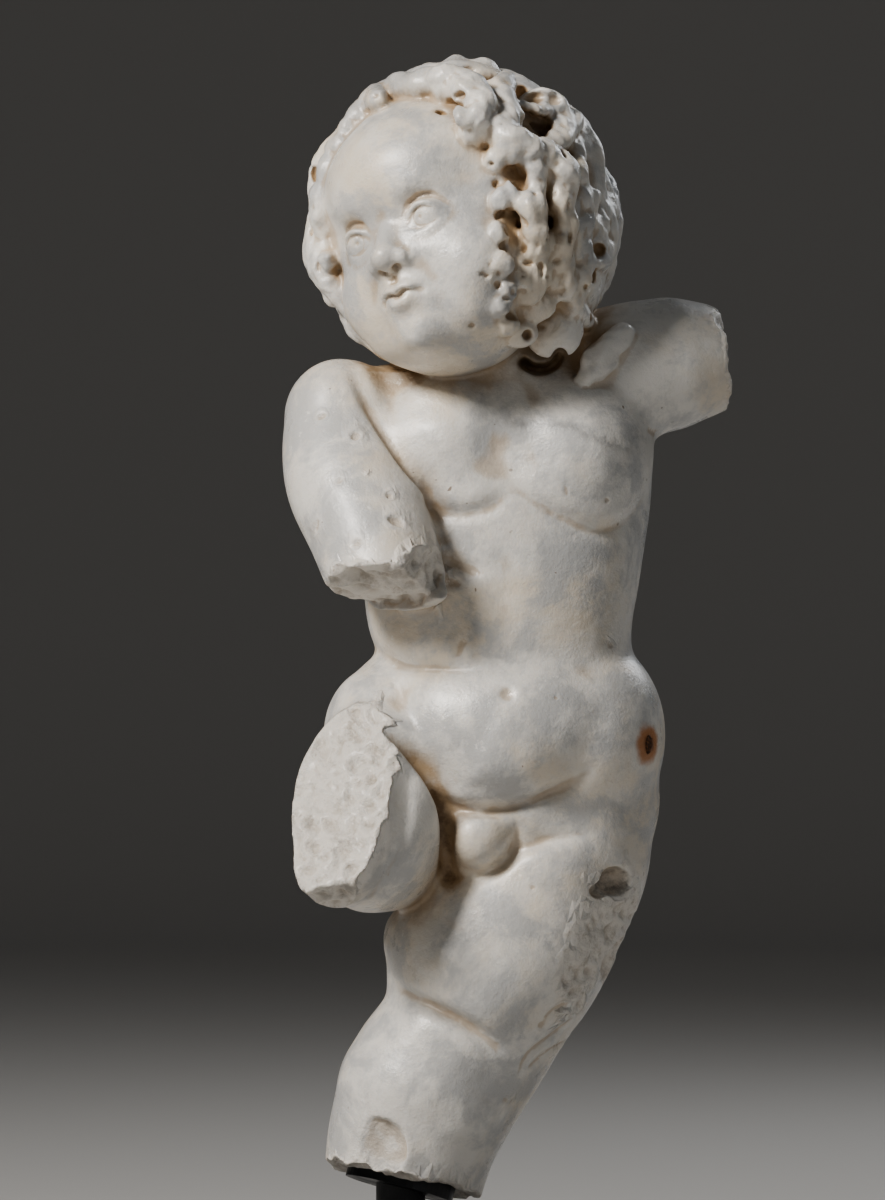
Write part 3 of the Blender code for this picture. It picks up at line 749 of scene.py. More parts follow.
def crownCurls(data):
    rows = hair["crownCurls"]
    for i in range(rows["count"]):
        azimuth = 360 * i / rows["count"]
        places, radii = [], []
        for t in np.linspace(0, 1, rows["steps"]):
            elevation = rows["elevation"] - rows["reach"] * t
            places.append(capAt(azimuth + rows["sweep"] * t, elevation, rows["lift"] + rows["flare"] * t))
            radii.append(rows["radius"] * (rows["thinnest"] + rows["swelling"] * math.sin(math.pi * t)))
        addLock(data, places, radii)


def makeHair():
    data = bpy.data.curves.new("locks", "CURVE")
    data.dimensions = "3D"
    data.bevel_mode = "OBJECT"
    data.bevel_object = lockProfile()
    data.use_fill_caps = True
    locksFromFront(data)
    curtain(data, hair["curtain"])
    curtain(data, hair["under"])
    crownCurls(data)
    for rows in hair["shoulderLocks"]:
        line = through(rows, hair["spacing"])
        addLock(data, line[:, :3], line[:, 3])
    profile = data.bevel_object
    mesh = applied(newObject("locks", data))
    bpy.data.objects.remove(profile)
    work = bmesh.new()
    work.from_mesh(mesh)
    bmesh.ops.remove_doubles(work, verts=work.verts, dist=0.001)
    for x, z, lift, radii, turn in hair["lumps"]:
        matrix = (Matrix.Rotation(math.radians(turn), 3, "Y") @ Matrix.Diagonal(radii)).to_4x4()
        matrix.translation = onHair(x, z, lift)
        bmesh.ops.create_icosphere(work, subdivisions=hair["lumpFacets"], radius=1, matrix=matrix)
    bmesh.ops.recalc_face_normals(work, faces=work.faces)
    return meshFrom(work, "hairClay")


headTree = treeOf(headMesh)
hairMesh = makeHair()
print("hair modelled,", len(hairMesh.polygons), "faces")


def carveHair(mesh):
    points, normals = pointsOf(mesh), normalsOf(mesh)
    local = (points - np.array(inHead[1])) @ np.array(inHead[0])
    cap = (local - np.array(hair["capCentre"])) / np.array(hair["capRadii"])
    away = np.linalg.norm(cap, axis=1)
    strand = hair["strand"]
    bare = (headTree, treeOf(bodyMesh))
    inner, outer = strand["zone"]          # of the cap's own radius
    for i in np.flatnonzero((away > inner) & (away < outer)):
        if min(tree.find_nearest(Vector(points[i]))[3] for tree in bare) < strand["bare"]:
            continue
        place = Vector(points[i]) / hair["carvingSize"]
        ridges = 1 - 2 * abs(noise.noise(place)) + 0.5 * noise.noise(place * 3.1)
        rise = hair["carving"] * (ridges - 0.5)
        x, y, z = local[i]          # wavy strands that run down from the crown
        sway = strand["sway"] * math.sin(z / strand["swayLength"] + 3 * noise.noise(place / 3))
        across = math.atan2(x, -y) * hair["capRadii"][0] + sway
        combed = min(1, math.hypot(x, y) / strand["crown"])
        rise += strand["depth"] * combed * (abs(math.sin(math.pi * across / strand["width"])) - 0.6)
        points[i] += normals[i] * rise
    movePoints(mesh, points)


def drillsOf():
    pores, deep = hair["pores"], hair["drillDepth"]
    drills = [(x, z, wide, tall, depth * deep, turn) for x, z, wide, tall, depth, turn in hair["pits"]]
    along, aside, level = pores["seeds"]
    spread = pores["spread"]
    for i in range(pores["count"]):
        draws = [0.5 + noise.noise(Vector((i * along, k * aside, level))) for k in (1, 2, 3)]
        across, up = [spread * draw - (spread - 1) / 2 for draw in draws[:2]]
        x = pores["across"][0] + (pores["across"][1] - pores["across"][0]) * across
        z = pores["up"][0] + (pores["up"][1] - pores["up"][0]) * up
        radius = pores["size"][0] + (pores["size"][1] - pores["size"][0]) * draws[2]
        wide, tall = radius * pores["wide"], radius * pores["tall"]
        drills.append((x, z, wide, tall, pores["depth"], pores["turn"] * draws[0]))
    return drills


def drillTool(tree, drills):
    work = bmesh.new()
    for x, z, wide, tall, depth, turn in drills:
        hit, out = tree.ray_cast(Vector((x, figure["rayStart"], z)), Vector((0, 1, 0)))[:2]
        if not hit:
            continue
        inward = (Vector((0, hair["drillSlant"], 0)) - out).normalized()
        side = (Vector((1, 0, 0)) - inward * inward.x).normalized()
        axes = Matrix((side, inward, side.cross(inward))).transposed()
        axes = axes @ Matrix.Rotation(math.radians(turn), 3, "Y")
        made = bmesh.ops.create_icosphere(work, subdivisions=3, radius=1)
        share, size = hair["drillRough"]
        for vertex in made["verts"]:
            rough = 1 + share * noise.noise(vertex.co * size + Vector((x, z, 0)))
            local = Vector((vertex.co.x * wide, vertex.co.y * depth, vertex.co.z * tall)) * rough
            vertex.co = hit + axes @ local
    gap = hair["gap"]
    for x, z in through(gap["path"], gap["spacing"]):
        matrix = Matrix.Diagonal((gap["radius"], gap["depth"], gap["radius"])).to_4x4()
        matrix.translation = (x, gap["y"], z)
        bmesh.ops.create_icosphere(work, subdivisions=3, radius=1, matrix=matrix)
    bmesh.ops.recalc_face_normals(work, faces=work.faces)
    return newObject("drills", oneSkin(meshFrom(work, "drills"), hair["drillCell"]))


# Breaks: rough blocks that take off what is lost, and the drilled holes of the hair

def roughness(place):
    wide = noise.noise(place / breaks["coarse"][0]) * breaks["coarse"][1]
    along = Vector((place.x, place.y, place.z + place.x * breaks["streak"])) / breaks["middle"][0]
    middle = (0.5 - abs(noise.noise(along))) * 2 * breaks["middle"][1]
    return wide + middle + noise.noise(place / breaks["fine"][0]) * breaks["fine"][1]


def blockAxes(away):
    away = Vector(away).normalized()
    across = Vector((0, 1, 0)) if abs(away.x) > 0.9 else Vector((1, 0, 0))
    side = (across - away * away.dot(across)).normalized()
    return side, away.cross(side), away


def breakBlock(name, point, away, sizes):
    side, rise, away = blockAxes(away)
    work = bmesh.new()
    matrix = Matrix((side * sizes[0] / 2, rise * sizes[1] / 2, away)).transposed().to_4x4()
    matrix.translation = point
    steps = breaks["gridSteps"]
    bmesh.ops.create_grid(work, x_segments=steps, y_segments=steps, size=1, matrix=matrix)
    middle, halfWide, halfTall = Vector(point), sizes[0] / 2, sizes[1] / 2
    for vertex in work.verts:          # the square grid becomes a ragged disc
        local = vertex.co - middle
        across, up = local.dot(side) / halfWide, local.dot(rise) / halfTall
        ragged = 1 + breaks["ragged"] * noise.noise(vertex.co / breaks["raggedSize"])
        across, up = across * math.sqrt(1 - up * up / 2), up * math.sqrt(1 - across * across / 2)
        vertex.co = middle + (side * across * halfWide + rise * up * halfTall) * ragged
        vertex.co += away * roughness(vertex.co)
    far = bmesh.ops.extrude_face_region(work, geom=work.faces[:])
    lifted = [v for v in far["geom"] if isinstance(v, bmesh.types.BMVert)]
    bmesh.ops.translate(work, verts=lifted, vec=away * sizes[2])
    bmesh.ops.recalc_face_normals(work, faces=work.faces)
    return newObject(name, meshFrom(work, name))


def cutAway(mesh, tools):
    obj = newObject("cutting", mesh)
    for tool in tools:
        cut = obj.modifiers.new(tool.name, "BOOLEAN")
        cut.operation = "DIFFERENCE"
        cut.solver = "MANIFOLD"
        cut.object = tool
    mesh = applied(obj)
    for tool in tools:
        bpy.data.objects.remove(tool)
    return mesh


def makeFigureMesh():
    mesh = oneSkin(joined([bodyMesh, headMesh, hairMesh], "figureClay"), figure["finalCell"])
    print("one skin,", len(mesh.polygons), "faces")
    movePoints(mesh, eased(pointsOf(mesh), edgesOf(mesh), hair["melting"]))
    carveHair(mesh)
    mesh = cutAway(mesh, [breakBlock(name, *block) for name, block in breaks["blocks"].items()])
    mesh = cutAway(mesh, [drillTool(treeOf(mesh), drillsOf() + breaks["hollows"])])
    print("broken and drilled,", len(mesh.polygons), "faces")
    mesh = wholeOf(oneSkin(mesh, figure["finalCell"]))
    movePoints(mesh, eased(pointsOf(mesh), edgesOf(mesh), *figure["settling"]))
    pressAll(mesh, paired(dict(face["lines"], iris=irisLine())), inHead)
    return mesh


figureMesh = makeFigureMesh()

# Wear and painted shade: small chips, and the attributes that the marble reads, among them painted shade in
# hollows, creases, under the chin and on break faces that look down

wearAndShade = dict(
    chips=dict(
        groove1=dict(path=[(39, 62), (45, 74), (58, 84), (71, 94)], width=1.9, depth=1.6, lip=0.3),
        groove2=dict(path=[(44, 66), (56, 75), (71, 82)], width=1.9, depth=1.4, lip=0.3),
        groove3=dict(path=[(52, 92), (60, 98), (68, 101)], width=2.2, depth=1.4, lip=0.3),
        besideArm=dict(path=[(-2, 334), (6, 331), (14, 328), (22, 325)], width=3.4, depth=2.2, lip=0.3),
        besideArm2=dict(path=[(2, 322), (10, 320)], width=2.4, depth=1.2, lip=0.3),
        flankRough=dict(path=[(12, 292), (9, 286), (8, 281)], width=2.6, depth=1.2, lip=0.3),
        armpit=dict(path=[(108, 401), (113, 399.5)], width=2.2, depth=1),
        breastNick=dict(path=[(86, 364)], width=1.4, depth=0.9),
        breastScratch=dict(path=[(64, 372), (65, 366)], width=1, depth=0.7),
        bellyPit=dict(path=[(59, 261)], width=1.1, depth=0.9),
        legPit=dict(path=[(47, 162)], width=1.2, depth=0.9),
    ),
    rays=12, reach=24, lift=0.25,          # what stands close over each point
    hollowEasing=8, hollowDepth=0.6,
    hairFront=(-58, 16), hairEdge=1.35, hairBottom=432, hairCovered=(0.42, 0.4),
    cleftReach=10, cleftShare=1.6, cleftCovered=(0.35, 0.3),
    breakFar=5, breakFacing=0.1, breakGap=1.8, hollowReach=1.5, hollowShare=0.45,
    # painted shade: the next three entries lay dark grey under the chin, in the hollow over the outer thigh's
    # scar and on break faces that look down
    chin=dict(spots=[(-2, -60, 434), (18, -66, 428), (38, -60, 430), (56, -40, 438)], reach=28,
              share=1.4, covered=(0.3, 0.3)),
    thighHollow=dict(path=[(84, 161), (92, 165), (98, 165)], reach=13, share=1.8, covered=(0.15, 0.2)),
    underFaces=[          # path, reach, most
        ([(-74, 170), (-62, 165), (-52, 166)], 15, 0.6),          # of the right thigh's break
        ([(-58, 331), (-40, 326), (-22, 324)], 15, 0.4),          # of the right arm's break
    ],
    underFacing=-0.2, dirtOverBreak=0.6, hip=(108, 236),
    vein=[(34, 407), (45, 403), (66, 403), (80, 396), (98, 390)], veinReach=3,
)
thinning = dict(around=88, fade=20, levels=5, hold=0.002)


pressAll(figureMesh, wearAndShade["chips"], upright)


def rising(values, low, width):
    return np.clip((values - low) / width, 0, 1)


def thinned(mesh):
    obj = newObject("thinning", mesh)
    thin = obj.modifiers.new("thin", "DECIMATE")
    thin.ratio = figure["trianglesKept"] / (2 * len(mesh.polygons))
    fromMiddle = np.linalg.norm(pointsOf(mesh) - np.array(inHead[1]), axis=1)
    fromHead = rising(fromMiddle, thinning["around"], thinning["fade"])
    group = obj.vertex_groups.new(name="thinned")
    steps = thinning["levels"] - 1
    for level in range(steps + 1):
        chosen = np.flatnonzero(np.round(fromHead * steps) == level)
        group.add([int(i) for i in chosen], 0.5 + 0.5 * level / steps, "REPLACE")
    thin.vertex_group = "thinned"
    thin.vertex_group_factor = thinning["hold"]
    return applied(obj)


figureMesh = thinned(figureMesh)
print("figure thinned,", len(figureMesh.polygons), "faces")


def nearness(points, spots, reach):
    gap = np.full(len(points), np.inf)
    for spot in spots:
        gap = np.minimum(gap, np.linalg.norm(points - spot, axis=1))
    return np.clip(1 - gap / reach, 0, 1)


def onBreak(points, normals):
    broken = np.zeros(len(points))
    for point, away, sizes in breaks["blocks"].values():
        side, rise, away = [np.array(v) for v in blockAxes(away)]
        local = points - np.array(point)
        height = local @ away
        inside = (abs(local @ side) < sizes[0] / 2) & (abs(local @ rise) < sizes[1] / 2)
        inside &= (abs(height) < wearAndShade["breakFar"]) & (normals @ away > wearAndShade["breakFacing"])
        for i in np.flatnonzero(inside):
            flat = Vector(points[i] - away * height[i])
            gap = abs(height[i] - roughness(flat))
            broken[i] = max(broken[i], 1 - gap / wearAndShade["breakGap"])
    return np.clip(broken * 2, 0, 1)


def addAttribute(mesh, name, values):
    layer = mesh.attributes.new(name, "FLOAT", "POINT")
    layer.data.foreach_set("value", values.astype(np.float32))


def occlusion(tree, points, normals):
    steps = np.arange(wearAndShade["rays"]) + 0.5          # the share of rays that meet stone nearby
    lift = 1 - 0.9 * steps / wearAndShade["rays"]
    turn = steps * math.pi * (3 - math.sqrt(5))
    flat = np.sqrt(1 - lift * lift)
    fan = [Vector(way) for way in zip(flat * np.cos(turn), flat * np.sin(turn), lift)]
    shares = np.zeros(len(points))
    for i, (point, normal) in enumerate(zip(points, normals)):
        out = Vector(normal)
        start = Vector(point) + out * wearAndShade["lift"]
        axes = out.to_track_quat("Z", "Y").to_matrix()
        shares[i] = sum(tree.ray_cast(start, axes @ way, wearAndShade["reach"])[0] is not None for way in fan)
    return shares / wearAndShade["rays"]


def addWearAndShade(mesh):
    points, normals, edges = pointsOf(mesh), normalsOf(mesh), edgesOf(mesh)
    tree = treeOf(mesh)
    hollow = ((eased(points, edges, wearAndShade["hollowEasing"]) - points) * normals).sum(1)
    covered = eased(occlusion(tree, points, normals), edges, 2)

    def near(path, reach):
        return nearness(points, onSkin(tree, path, upright), reach)

    local = (points - np.array(inHead[1])) @ np.array(inHead[0])
    cap = np.linalg.norm((local - np.array(hair["capCentre"])) / np.array(hair["capRadii"]), axis=1)
    onHead = (cap < wearAndShade["hairEdge"]) & (points[:, 2] > wearAndShade["hairBottom"])
    hairDirt = rising(covered, *wearAndShade["hairCovered"]) * rising(local[:, 1], *wearAndShade["hairFront"]) * onHead
    cleft = near(through(body["creases"]["groinCleft"]["path"], 3), wearAndShade["cleftReach"])
    cleftDirt = np.clip(cleft * wearAndShade["cleftShare"], 0, 1) * rising(covered, *wearAndShade["cleftCovered"])
    broken = onBreak(points, normals)
    for x, z, wide, tall, _, _ in breaks["hollows"]:
        spot = near([(x, z)], wearAndShade["hollowReach"] * max(wide, tall))
        broken = np.maximum(broken, np.clip(spot * 2, 0, 1) * wearAndShade["hollowShare"])
    # painted shade: dark grey under the chin, in the thigh scar's hollow and on downward-facing break faces
    paintedShade = np.zeros(len(points))
    for place in (wearAndShade["chin"], wearAndShade["thighHollow"]):
        spots = np.array(place["spots"]) if "spots" in place else onSkin(tree, place["path"], upright)
        shadeNear = np.clip(nearness(points, spots, place["reach"]) * place["share"], 0, 1)
        paintedShade = np.maximum(paintedShade, shadeNear * rising(covered, *place["covered"]))
    facingDown = normals[:, 2] < wearAndShade["underFacing"]
    for path, reach, most in wearAndShade["underFaces"]:
        paintedShade = np.maximum(paintedShade, np.clip(near(path, reach) * 2, 0, most) * broken * facingDown)
    hip = onSkin(tree, [wearAndShade["hip"]], upright)[0]
    rust = np.linalg.norm(points - hip, axis=1)
    attributes = dict(
        # how far each point lies in a hollow; the marble paints tan shade from it
        crease=np.clip(hollow / wearAndShade["hollowDepth"], -1, 1),
        covered=covered,
        dirt=np.clip(hairDirt + cleftDirt, 0, 1),
        broken=broken * (1 - wearAndShade["dirtOverBreak"] * hairDirt),
        paintedShade=paintedShade,
        rustDistance=rust,
        vein=near(through(wearAndShade["vein"], 2), wearAndShade["veinReach"]),
    )
    for name, values in attributes.items():
        addAttribute(mesh, name, values)
    return hip, normals[np.argmin(rust)]


hip, hipOut = addWearAndShade(figureMesh)
print("wear worked out")

# Marble


def newMaterial(name):
    material = bpy.data.materials.new(name)
    material.use_nodes = True
    nodes = material.node_tree.nodes
    return material, nodes, material.node_tree.links, nodes["Principled BSDF"]


def attribute(nodes, name):
    node = nodes.new("ShaderNodeAttribute")
    node.attribute_name = name
    return node.outputs["Fac"]


def noiseAt(tree, coordinates, scale, detail=3.0, roughness=0.5, distortion=0.0):
    node = tree.nodes.new("ShaderNodeTexNoise")
    tree.links.new(coordinates, node.inputs["Vector"])
    for key, value in dict(Scale=scale, Detail=detail, Roughness=roughness, Distortion=distortion).items():
        node.inputs[key].default_value = value
    return node.outputs["Fac"]


def ranged(tree, value, low, high, toLow=0.0, toHigh=1.0):
    node = tree.nodes.new("ShaderNodeMapRange")
    node.interpolation_type = "SMOOTHSTEP"
    tree.links.new(value, node.inputs["Value"])
    sockets = zip(("From Min", "From Max", "To Min", "To Max"), (low, high, toLow, toHigh))
    for key, number in sockets:
        node.inputs[key].default_value = number
    return node.outputs["Result"]


def mixed(tree, share, first, second, mode="MIX"):
    node = tree.nodes.new("ShaderNodeMix")
    node.data_type = "RGBA"
    node.blend_type = mode
    for socket, value in zip((node.inputs[0], node.inputs[6], node.inputs[7]), (share, first, second)):
        if isinstance(value, bpy.types.NodeSocket):
            tree.links.new(value, socket)
        elif isinstance(value, tuple):
            socket.default_value = (*value, 1)
        else:
            socket.default_value = value
    return node.outputs[2]


def math2(tree, operation, first, second=0.0, clamp=False):
    node = tree.nodes.new("ShaderNodeMath")
    node.operation = operation
    node.use_clamp = clamp
    for socket, value in zip(node.inputs, (first, second)):
        if isinstance(value, bpy.types.NodeSocket):
            tree.links.new(value, socket)
        else:
            socket.default_value = value
    return node.outputs[0]


def bumped(tree, shader, height, strength, distance):
    bump = tree.nodes.new("ShaderNodeBump")
    bump.inputs["Strength"].default_value = strength
    bump.inputs["Distance"].default_value = distance
    tree.links.new(height, bump.inputs["Height"])
    tree.links.new(bump.outputs["Normal"], shader.inputs["Normal"])


marble = dict(
    white=(0.77, 0.745, 0.70), cream=(0.71, 0.60, 0.45), cool=(0.50, 0.50, 0.495),
    broken=(0.80, 0.76, 0.70), brokenDark=(0.36, 0.30, 0.23), scuffed=(0.86, 0.84, 0.80),
    # the last colour on the next line is the dark grey of painted shade under the chin and on break faces
    # that look down
    brown=(0.15, 0.085, 0.04), tan=(0.42, 0.30, 0.18), paintedShade=(0.17, 0.155, 0.135),
    rust=(0.47, 0.20, 0.07), rustDark=(0.09, 0.032, 0.014), veinGrey=(0.30, 0.295, 0.29),
    # the second number on the next line sets how strongly painted tan shade is laid in covered places
    brokenRoughness=0.72, wornShare=0.75, veinShare=0.8, brokenShare=0.95, paintedShadeShare=0.9,
    noises=dict(          # scale, detail, roughness, distortion
        clouds=(9, 6, 0.62, 0.4), patches=(24, 6, 0.65, 0.3), grain=(620, 3, 0.6), specks=(240, 2),
        fine=(75, 6, 0.68), scuffs=(160, 4, 0.7), scuffAreas=(16, 2), breaks=(95, 8, 0.75),
        dirt=(95, 4, 0.6), paintedShade=(60, 5, 0.7), wobble=(130, 3), dots=(210, 1, 0.4), dotAreas=(12, 2),
        polish=(40, 4, 0.6), soft=(120, 6, 0.7), coarse=(110, 8, 0.66),
    ),
    ranges=dict(          # from, to, and the share at each
        clouds=(0.46, 0.62, 0, 0.6), patches=(0.46, 0.6, 0, 0.85), fine=(0.5, 0.66, 0, 0.4),
        covered=(0.2, 0.7), coveredPatches=(0.36, 0.6, 0.35, 1), crease=(0.05, 0.6, 0, 0.5),
        scuffs=(0.6, 0.68, 0, 0.5), scuffAreas=(0.5, 0.62), vein=(0.34, 0.5, 0.3, 1),
        breaks=(0.5, 0.68, 0, 0.6), breakCrease=(0.15, 1.2, 0, 0.45), dirtPatches=(0.3, 0.65, 0.35, 1),
        dirtThin=(0.02, 0.5, 0, 0.85), dirtThick=(0.5, 1.1, 0, 0.85), paintedShade=(0.38, 0.62),
        rust=(7, 13, 0.92, 0), rustDark=(2, 6, 0.85, 0), dots=(0.775, 0.81, 0, 0.7),
        dotAreas=(0.52, 0.6), polish=(0.3, 0.7, 0.22, 0.48), glints=(0.62, 0.75, 0, -0.18),
    ),
    bump=(0.7, 0.0012), softHeight=0.8, grainHeight=0.2, brokenHeight=5, rustWobble=7,
    inputs={
        "Coat Weight": 0.3, "Coat Roughness": 0.28, "Subsurface Weight": 0.1,
        "Subsurface Radius": (1.0, 0.72, 0.5), "Subsurface Scale": 0.0025, "IOR": 1.5,
    },
)


def marbleMaterial():
    material, nodes, links, shader = newMaterial("agedMarble")
    tree = material.node_tree
    place = nodes.new("ShaderNodeTexCoord").outputs["Object"]

    def pattern(name):
        return noiseAt(tree, place, *marble["noises"][name])

    def share(name, value):
        return ranged(tree, value, *marble["ranges"][name])

    def times(first, second, clamp=False):
        return math2(tree, "MULTIPLY", first, second, clamp)

    def tinted(colour, amount, tint):
        return mixed(tree, amount, colour, marble[tint])

    fine, grain, broken = pattern("fine"), pattern("grain"), attribute(nodes, "broken")
    crease = attribute(nodes, "crease")
    colour = mixed(tree, share("clouds", pattern("clouds")), marble["white"], marble["cream"])
    colour = tinted(colour, share("patches", pattern("patches")), "cool")
    colour = tinted(colour, share("fine", fine), "cool")
    # painted shade: tan laid where many rays meet stone nearby, in hollows and between parts
    worn = times(share("covered", attribute(nodes, "covered")), share("coveredPatches", fine))
    colour = tinted(colour, times(worn, marble["wornShare"]), "tan")
    # painted shade: tan laid in concave creases
    colour = tinted(colour, share("crease", crease), "tan")
    scuffs = times(share("scuffs", pattern("scuffs")), share("scuffAreas", pattern("scuffAreas")))
    colour = tinted(colour, scuffs, "scuffed")
    vein = times(attribute(nodes, "vein"), share("vein", pattern("specks")))
    colour = tinted(colour, times(vein, marble["veinShare"]), "veinGrey")
    breakColour = mixed(tree, share("breaks", pattern("breaks")), marble["broken"], marble["brokenDark"])
    # painted shade: the hollows of the break relief darkened towards the darker break colour
    breakColour = tinted(breakColour, share("breakCrease", crease), "brokenDark")
    colour = mixed(tree, times(broken, marble["brokenShare"]), colour, breakColour)
    dirt = times(attribute(nodes, "dirt"), share("dirtPatches", pattern("dirt")), True)
    colour = tinted(colour, share("dirtThin", dirt), "tan")
    colour = tinted(colour, share("dirtThick", dirt), "brown")
    # painted shade: dark grey laid under the chin, in the thigh scar's hollow and on break faces that look
    # down
    paintedShade = times(attribute(nodes, "paintedShade"), share("paintedShade", pattern("paintedShade")), True)
    colour = tinted(colour, times(paintedShade, marble["paintedShadeShare"]), "paintedShade")
    wobble = times(math2(tree, "SUBTRACT", pattern("wobble"), 0.5), marble["rustWobble"])
    fromPin = math2(tree, "ADD", attribute(nodes, "rustDistance"), wobble)
    colour = tinted(colour, share("rust", fromPin), "rust")
    colour = tinted(colour, share("rustDark", fromPin), "rustDark")
    dots = times(share("dots", pattern("dots")), share("dotAreas", pattern("dotAreas")))
    colour = tinted(colour, dots, "brown")
    links.new(colour, shader.inputs["Base Color"])
    rough = math2(tree, "ADD", share("polish", pattern("polish")), share("glints", grain))
    blend = nodes.new("ShaderNodeMix")
    links.new(math2(tree, "MAXIMUM", broken, dirt), blend.inputs[0])
    links.new(rough, blend.inputs[2])
    blend.inputs[3].default_value = marble["brokenRoughness"]
    links.new(blend.outputs[0], shader.inputs["Roughness"])
    soft = times(pattern("soft"), marble["softHeight"])
    even = math2(tree, "ADD", soft, times(grain, marble["grainHeight"]))
    chiselled = times(times(pattern("coarse"), broken), marble["brokenHeight"])
    bumped(tree, shader, math2(tree, "ADD", even, chiselled), *marble["bump"])
    for name, value in marble["inputs"].items():
        shader.inputs[name].default_value = value
    return material


steelLook = dict(
    paint=(0.020, 0.021, 0.023), worn=(0.06, 0.058, 0.055), metallic=0.35, mottle=(55, 5, 0.6),
    fine=(700, 3, 0.6), wornRange=(0.5, 0.75, 0, 0.6), roughRange=(0.3, 0.7, 0.34, 0.54),
    bump=(0.25, 0.0003),
)


def steelMaterial():
    material, nodes, links, shader = newMaterial("blackSteel")
    tree = material.node_tree
    place = nodes.new("ShaderNodeTexCoord").outputs["Object"]
    mottle = noiseAt(tree, place, *steelLook["mottle"])
    worn = ranged(tree, mottle, *steelLook["wornRange"])
    links.new(mixed(tree, worn, steelLook["paint"], steelLook["worn"]), shader.inputs["Base Color"])
    links.new(ranged(tree, mottle, *steelLook["roughRange"]), shader.inputs["Roughness"])
    bumped(tree, shader, noiseAt(tree, place, *steelLook["fine"]), *steelLook["bump"])
    shader.inputs["Metallic"].default_value = steelLook["metallic"]
    return material


def placeFigure(mesh):
    place = Matrix.Translation((0, 0, figure["zeroHeight"])) @ Matrix.Scale(figure["metre"], 4)
    mesh.transform(place)
    mesh.update()
    mesh.shade_smooth()
    mesh.materials.clear()
    mesh.materials.append(marbleMaterial())
    obj = newObject("puttoMarble", mesh)
    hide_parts("putto_figure")
    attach(obj, "root")
    return obj


putto = placeFigure(figureMesh)
print("marble figure placed")

# The iron pin's rusted end in the left hip

pin = dict(
    half=(2.6, 5.1, 1.2), lumps=0.0007, lumpScale=900,          # half sizes in millimetres, lumps in metres
    dark=(0.05, 0.028, 0.018), rusty=(0.20, 0.085, 0.035), roughness=0.8,
    mottle=(900, 4, 0.7), mottleRange=(0.4, 0.65), bump=(1.0, 0.0006),
)


def ironMaterial():
    material, nodes, links, shader = newMaterial("rustedIron")
    tree = material.node_tree
    place = nodes.new("ShaderNodeTexCoord").outputs["Object"]
    mottle = noiseAt(tree, place, *pin["mottle"])
    colour = mixed(tree, ranged(tree, mottle, *pin["mottleRange"]), pin["dark"], pin["rusty"])
    links.new(colour, shader.inputs["Base Color"])
    shader.inputs["Roughness"].default_value = pin["roughness"]
    bumped(tree, shader, mottle, *pin["bump"])
    return material


def makePin():
    work = bmesh.new()
    out = Vector(hipOut)
    spot = Vector(hip) * figure["metre"] + Vector((0, 0, figure["zeroHeight"]))
    turn = out.to_track_quat("Z", "Y").to_matrix().to_4x4()
    size = Matrix.Diagonal((*pin["half"], 1)) @ Matrix.Scale(figure["metre"], 4)
    made = bmesh.ops.create_icosphere(
        work, subdivisions=4, radius=1, matrix=Matrix.Translation(spot) @ turn @ size
    )
    for vertex in made["verts"]:
        vertex.co += out * pin["lumps"] * noise.noise(vertex.co * pin["lumpScale"])
    mesh = meshFrom(work, "ironPin")
    mesh.shade_smooth()
    mesh.materials.append(ironMaterial())
    obj = newObject("ironPin", mesh)
    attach(obj, "root")


makePin()

# Mount: the post and the foot keep their solids and take a painted steel

steel = steelMaterial()
for node in ("display_post", "display_foot"):
    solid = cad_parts[node]
    solid.data.materials.clear()
    solid.data.materials.append(steel)
print("mount finished")

# Floor and light

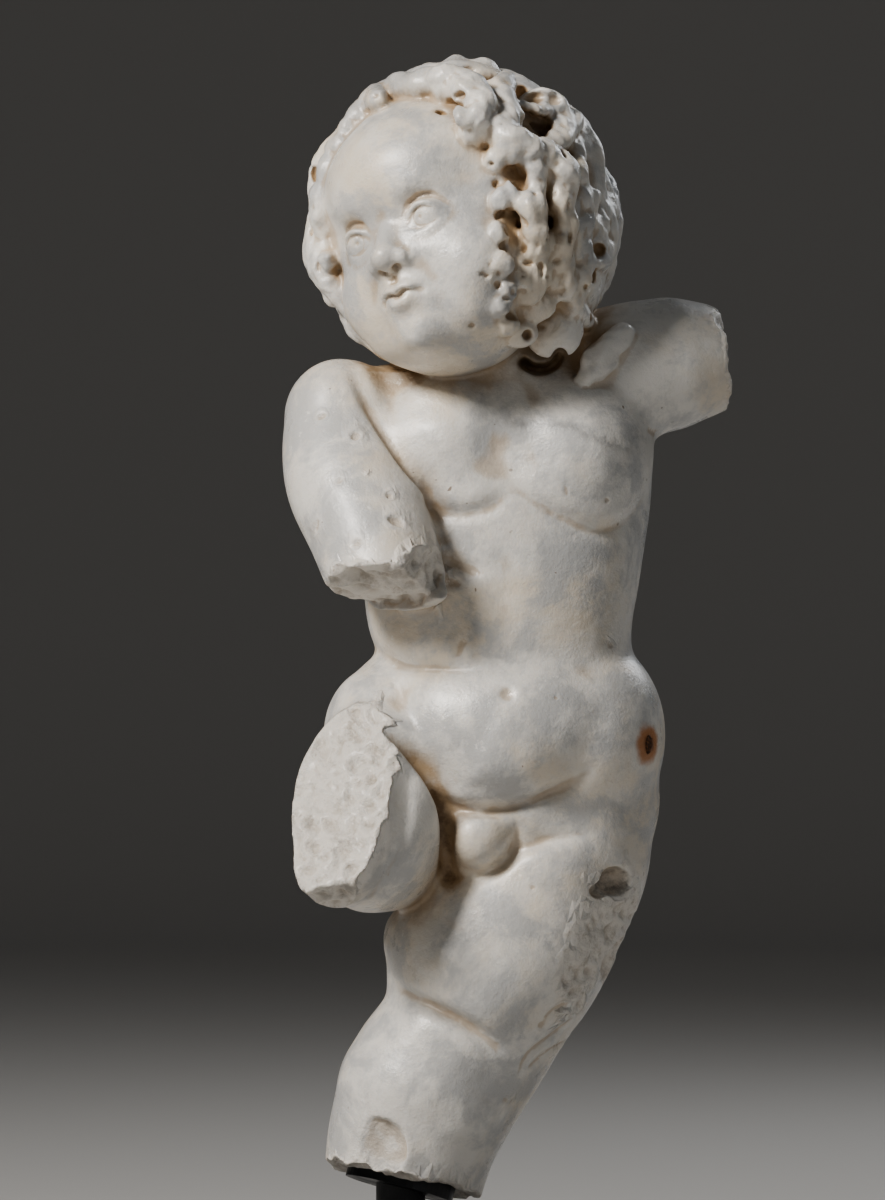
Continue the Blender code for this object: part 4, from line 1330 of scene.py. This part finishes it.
studio = dict(
    floor=(0.52, 0.51, 0.495), floorRadius=4.6, wallRadius=7.0, wallHeight=8.0, wallSides=96,
    wallBends=14, floorRoughness=0.9, world=(0.80, 0.88, 1.0), worldStrength=0.045,
    lights=dict(          # place, aim, size, power, colour
        keyLight=((-1.45, -1.25, 1.85), (0, 0, 0.38), 0.6, 63, (1.0, 0.96, 0.91)),
        fillLight=((1.6, -1.9, 0.9), (0, 0, 0.35), 1.2, 3.5, (0.86, 0.93, 1.0)),
        backLight=((1.3, 1.5, 1.6), (0, 0, 0.4), 0.9, 12, (0.93, 0.96, 1.0)),
    ),
    look="AgX - Medium High Contrast",
)


def makeFloor():
    work = bmesh.new()
    turns = np.linspace(0, math.pi / 2, studio["wallBends"])
    bend = studio["wallRadius"] - studio["floorRadius"]
    profile = [(0.0, 0.0)]
    profile += [(studio["floorRadius"] + bend * math.sin(t), bend * (1 - math.cos(t))) for t in turns]
    profile.append((studio["wallRadius"], studio["wallHeight"]))
    corners = [work.verts.new((x, 0, z)) for x, z in profile]
    edges = [work.edges.new(pair) for pair in zip(corners, corners[1:])]
    bmesh.ops.spin(work, geom=corners + edges, axis=(0, 0, 1), cent=(0, 0, 0), angle=2 * math.pi,
                   steps=studio["wallSides"], use_merge=True)
    bmesh.ops.remove_doubles(work, verts=work.verts, dist=0.0005)
    bmesh.ops.recalc_face_normals(work, faces=work.faces)
    mesh = meshFrom(work, "floor")
    mesh.shade_smooth()
    obj = newObject("floor", mesh)
    material, _, _, shader = newMaterial("paleFloor")
    shader.inputs["Base Color"].default_value = (*studio["floor"], 1)
    shader.inputs["Roughness"].default_value = studio["floorRoughness"]
    obj.data.materials.append(material)


def areaLight(name, location, aim, size, power, colour):
    data = bpy.data.lights.new(name, "AREA")
    data.energy = power
    data.size = size
    data.color = colour
    obj = bpy.data.objects.new(name, data)
    obj.location = location
    way = Vector(aim) - Vector(location)
    obj.rotation_mode = "QUATERNION"
    obj.rotation_quaternion = way.to_track_quat("-Z", "Y")
    bpy.context.scene.collection.objects.link(obj)


makeFloor()
for lightName, values in studio["lights"].items():
    areaLight(lightName, *values)
bpy.context.scene.view_settings.look = studio["look"]
world = bpy.data.worlds.new("studioWorld")
bpy.context.scene.world = world
world.use_nodes = True
background = world.node_tree.nodes["Background"]
background.inputs["Color"].default_value = (*studio["world"], 1)
background.inputs["Strength"].default_value = studio["worldStrength"]
print("floor and light set")

bpy.context.view_layer.update()
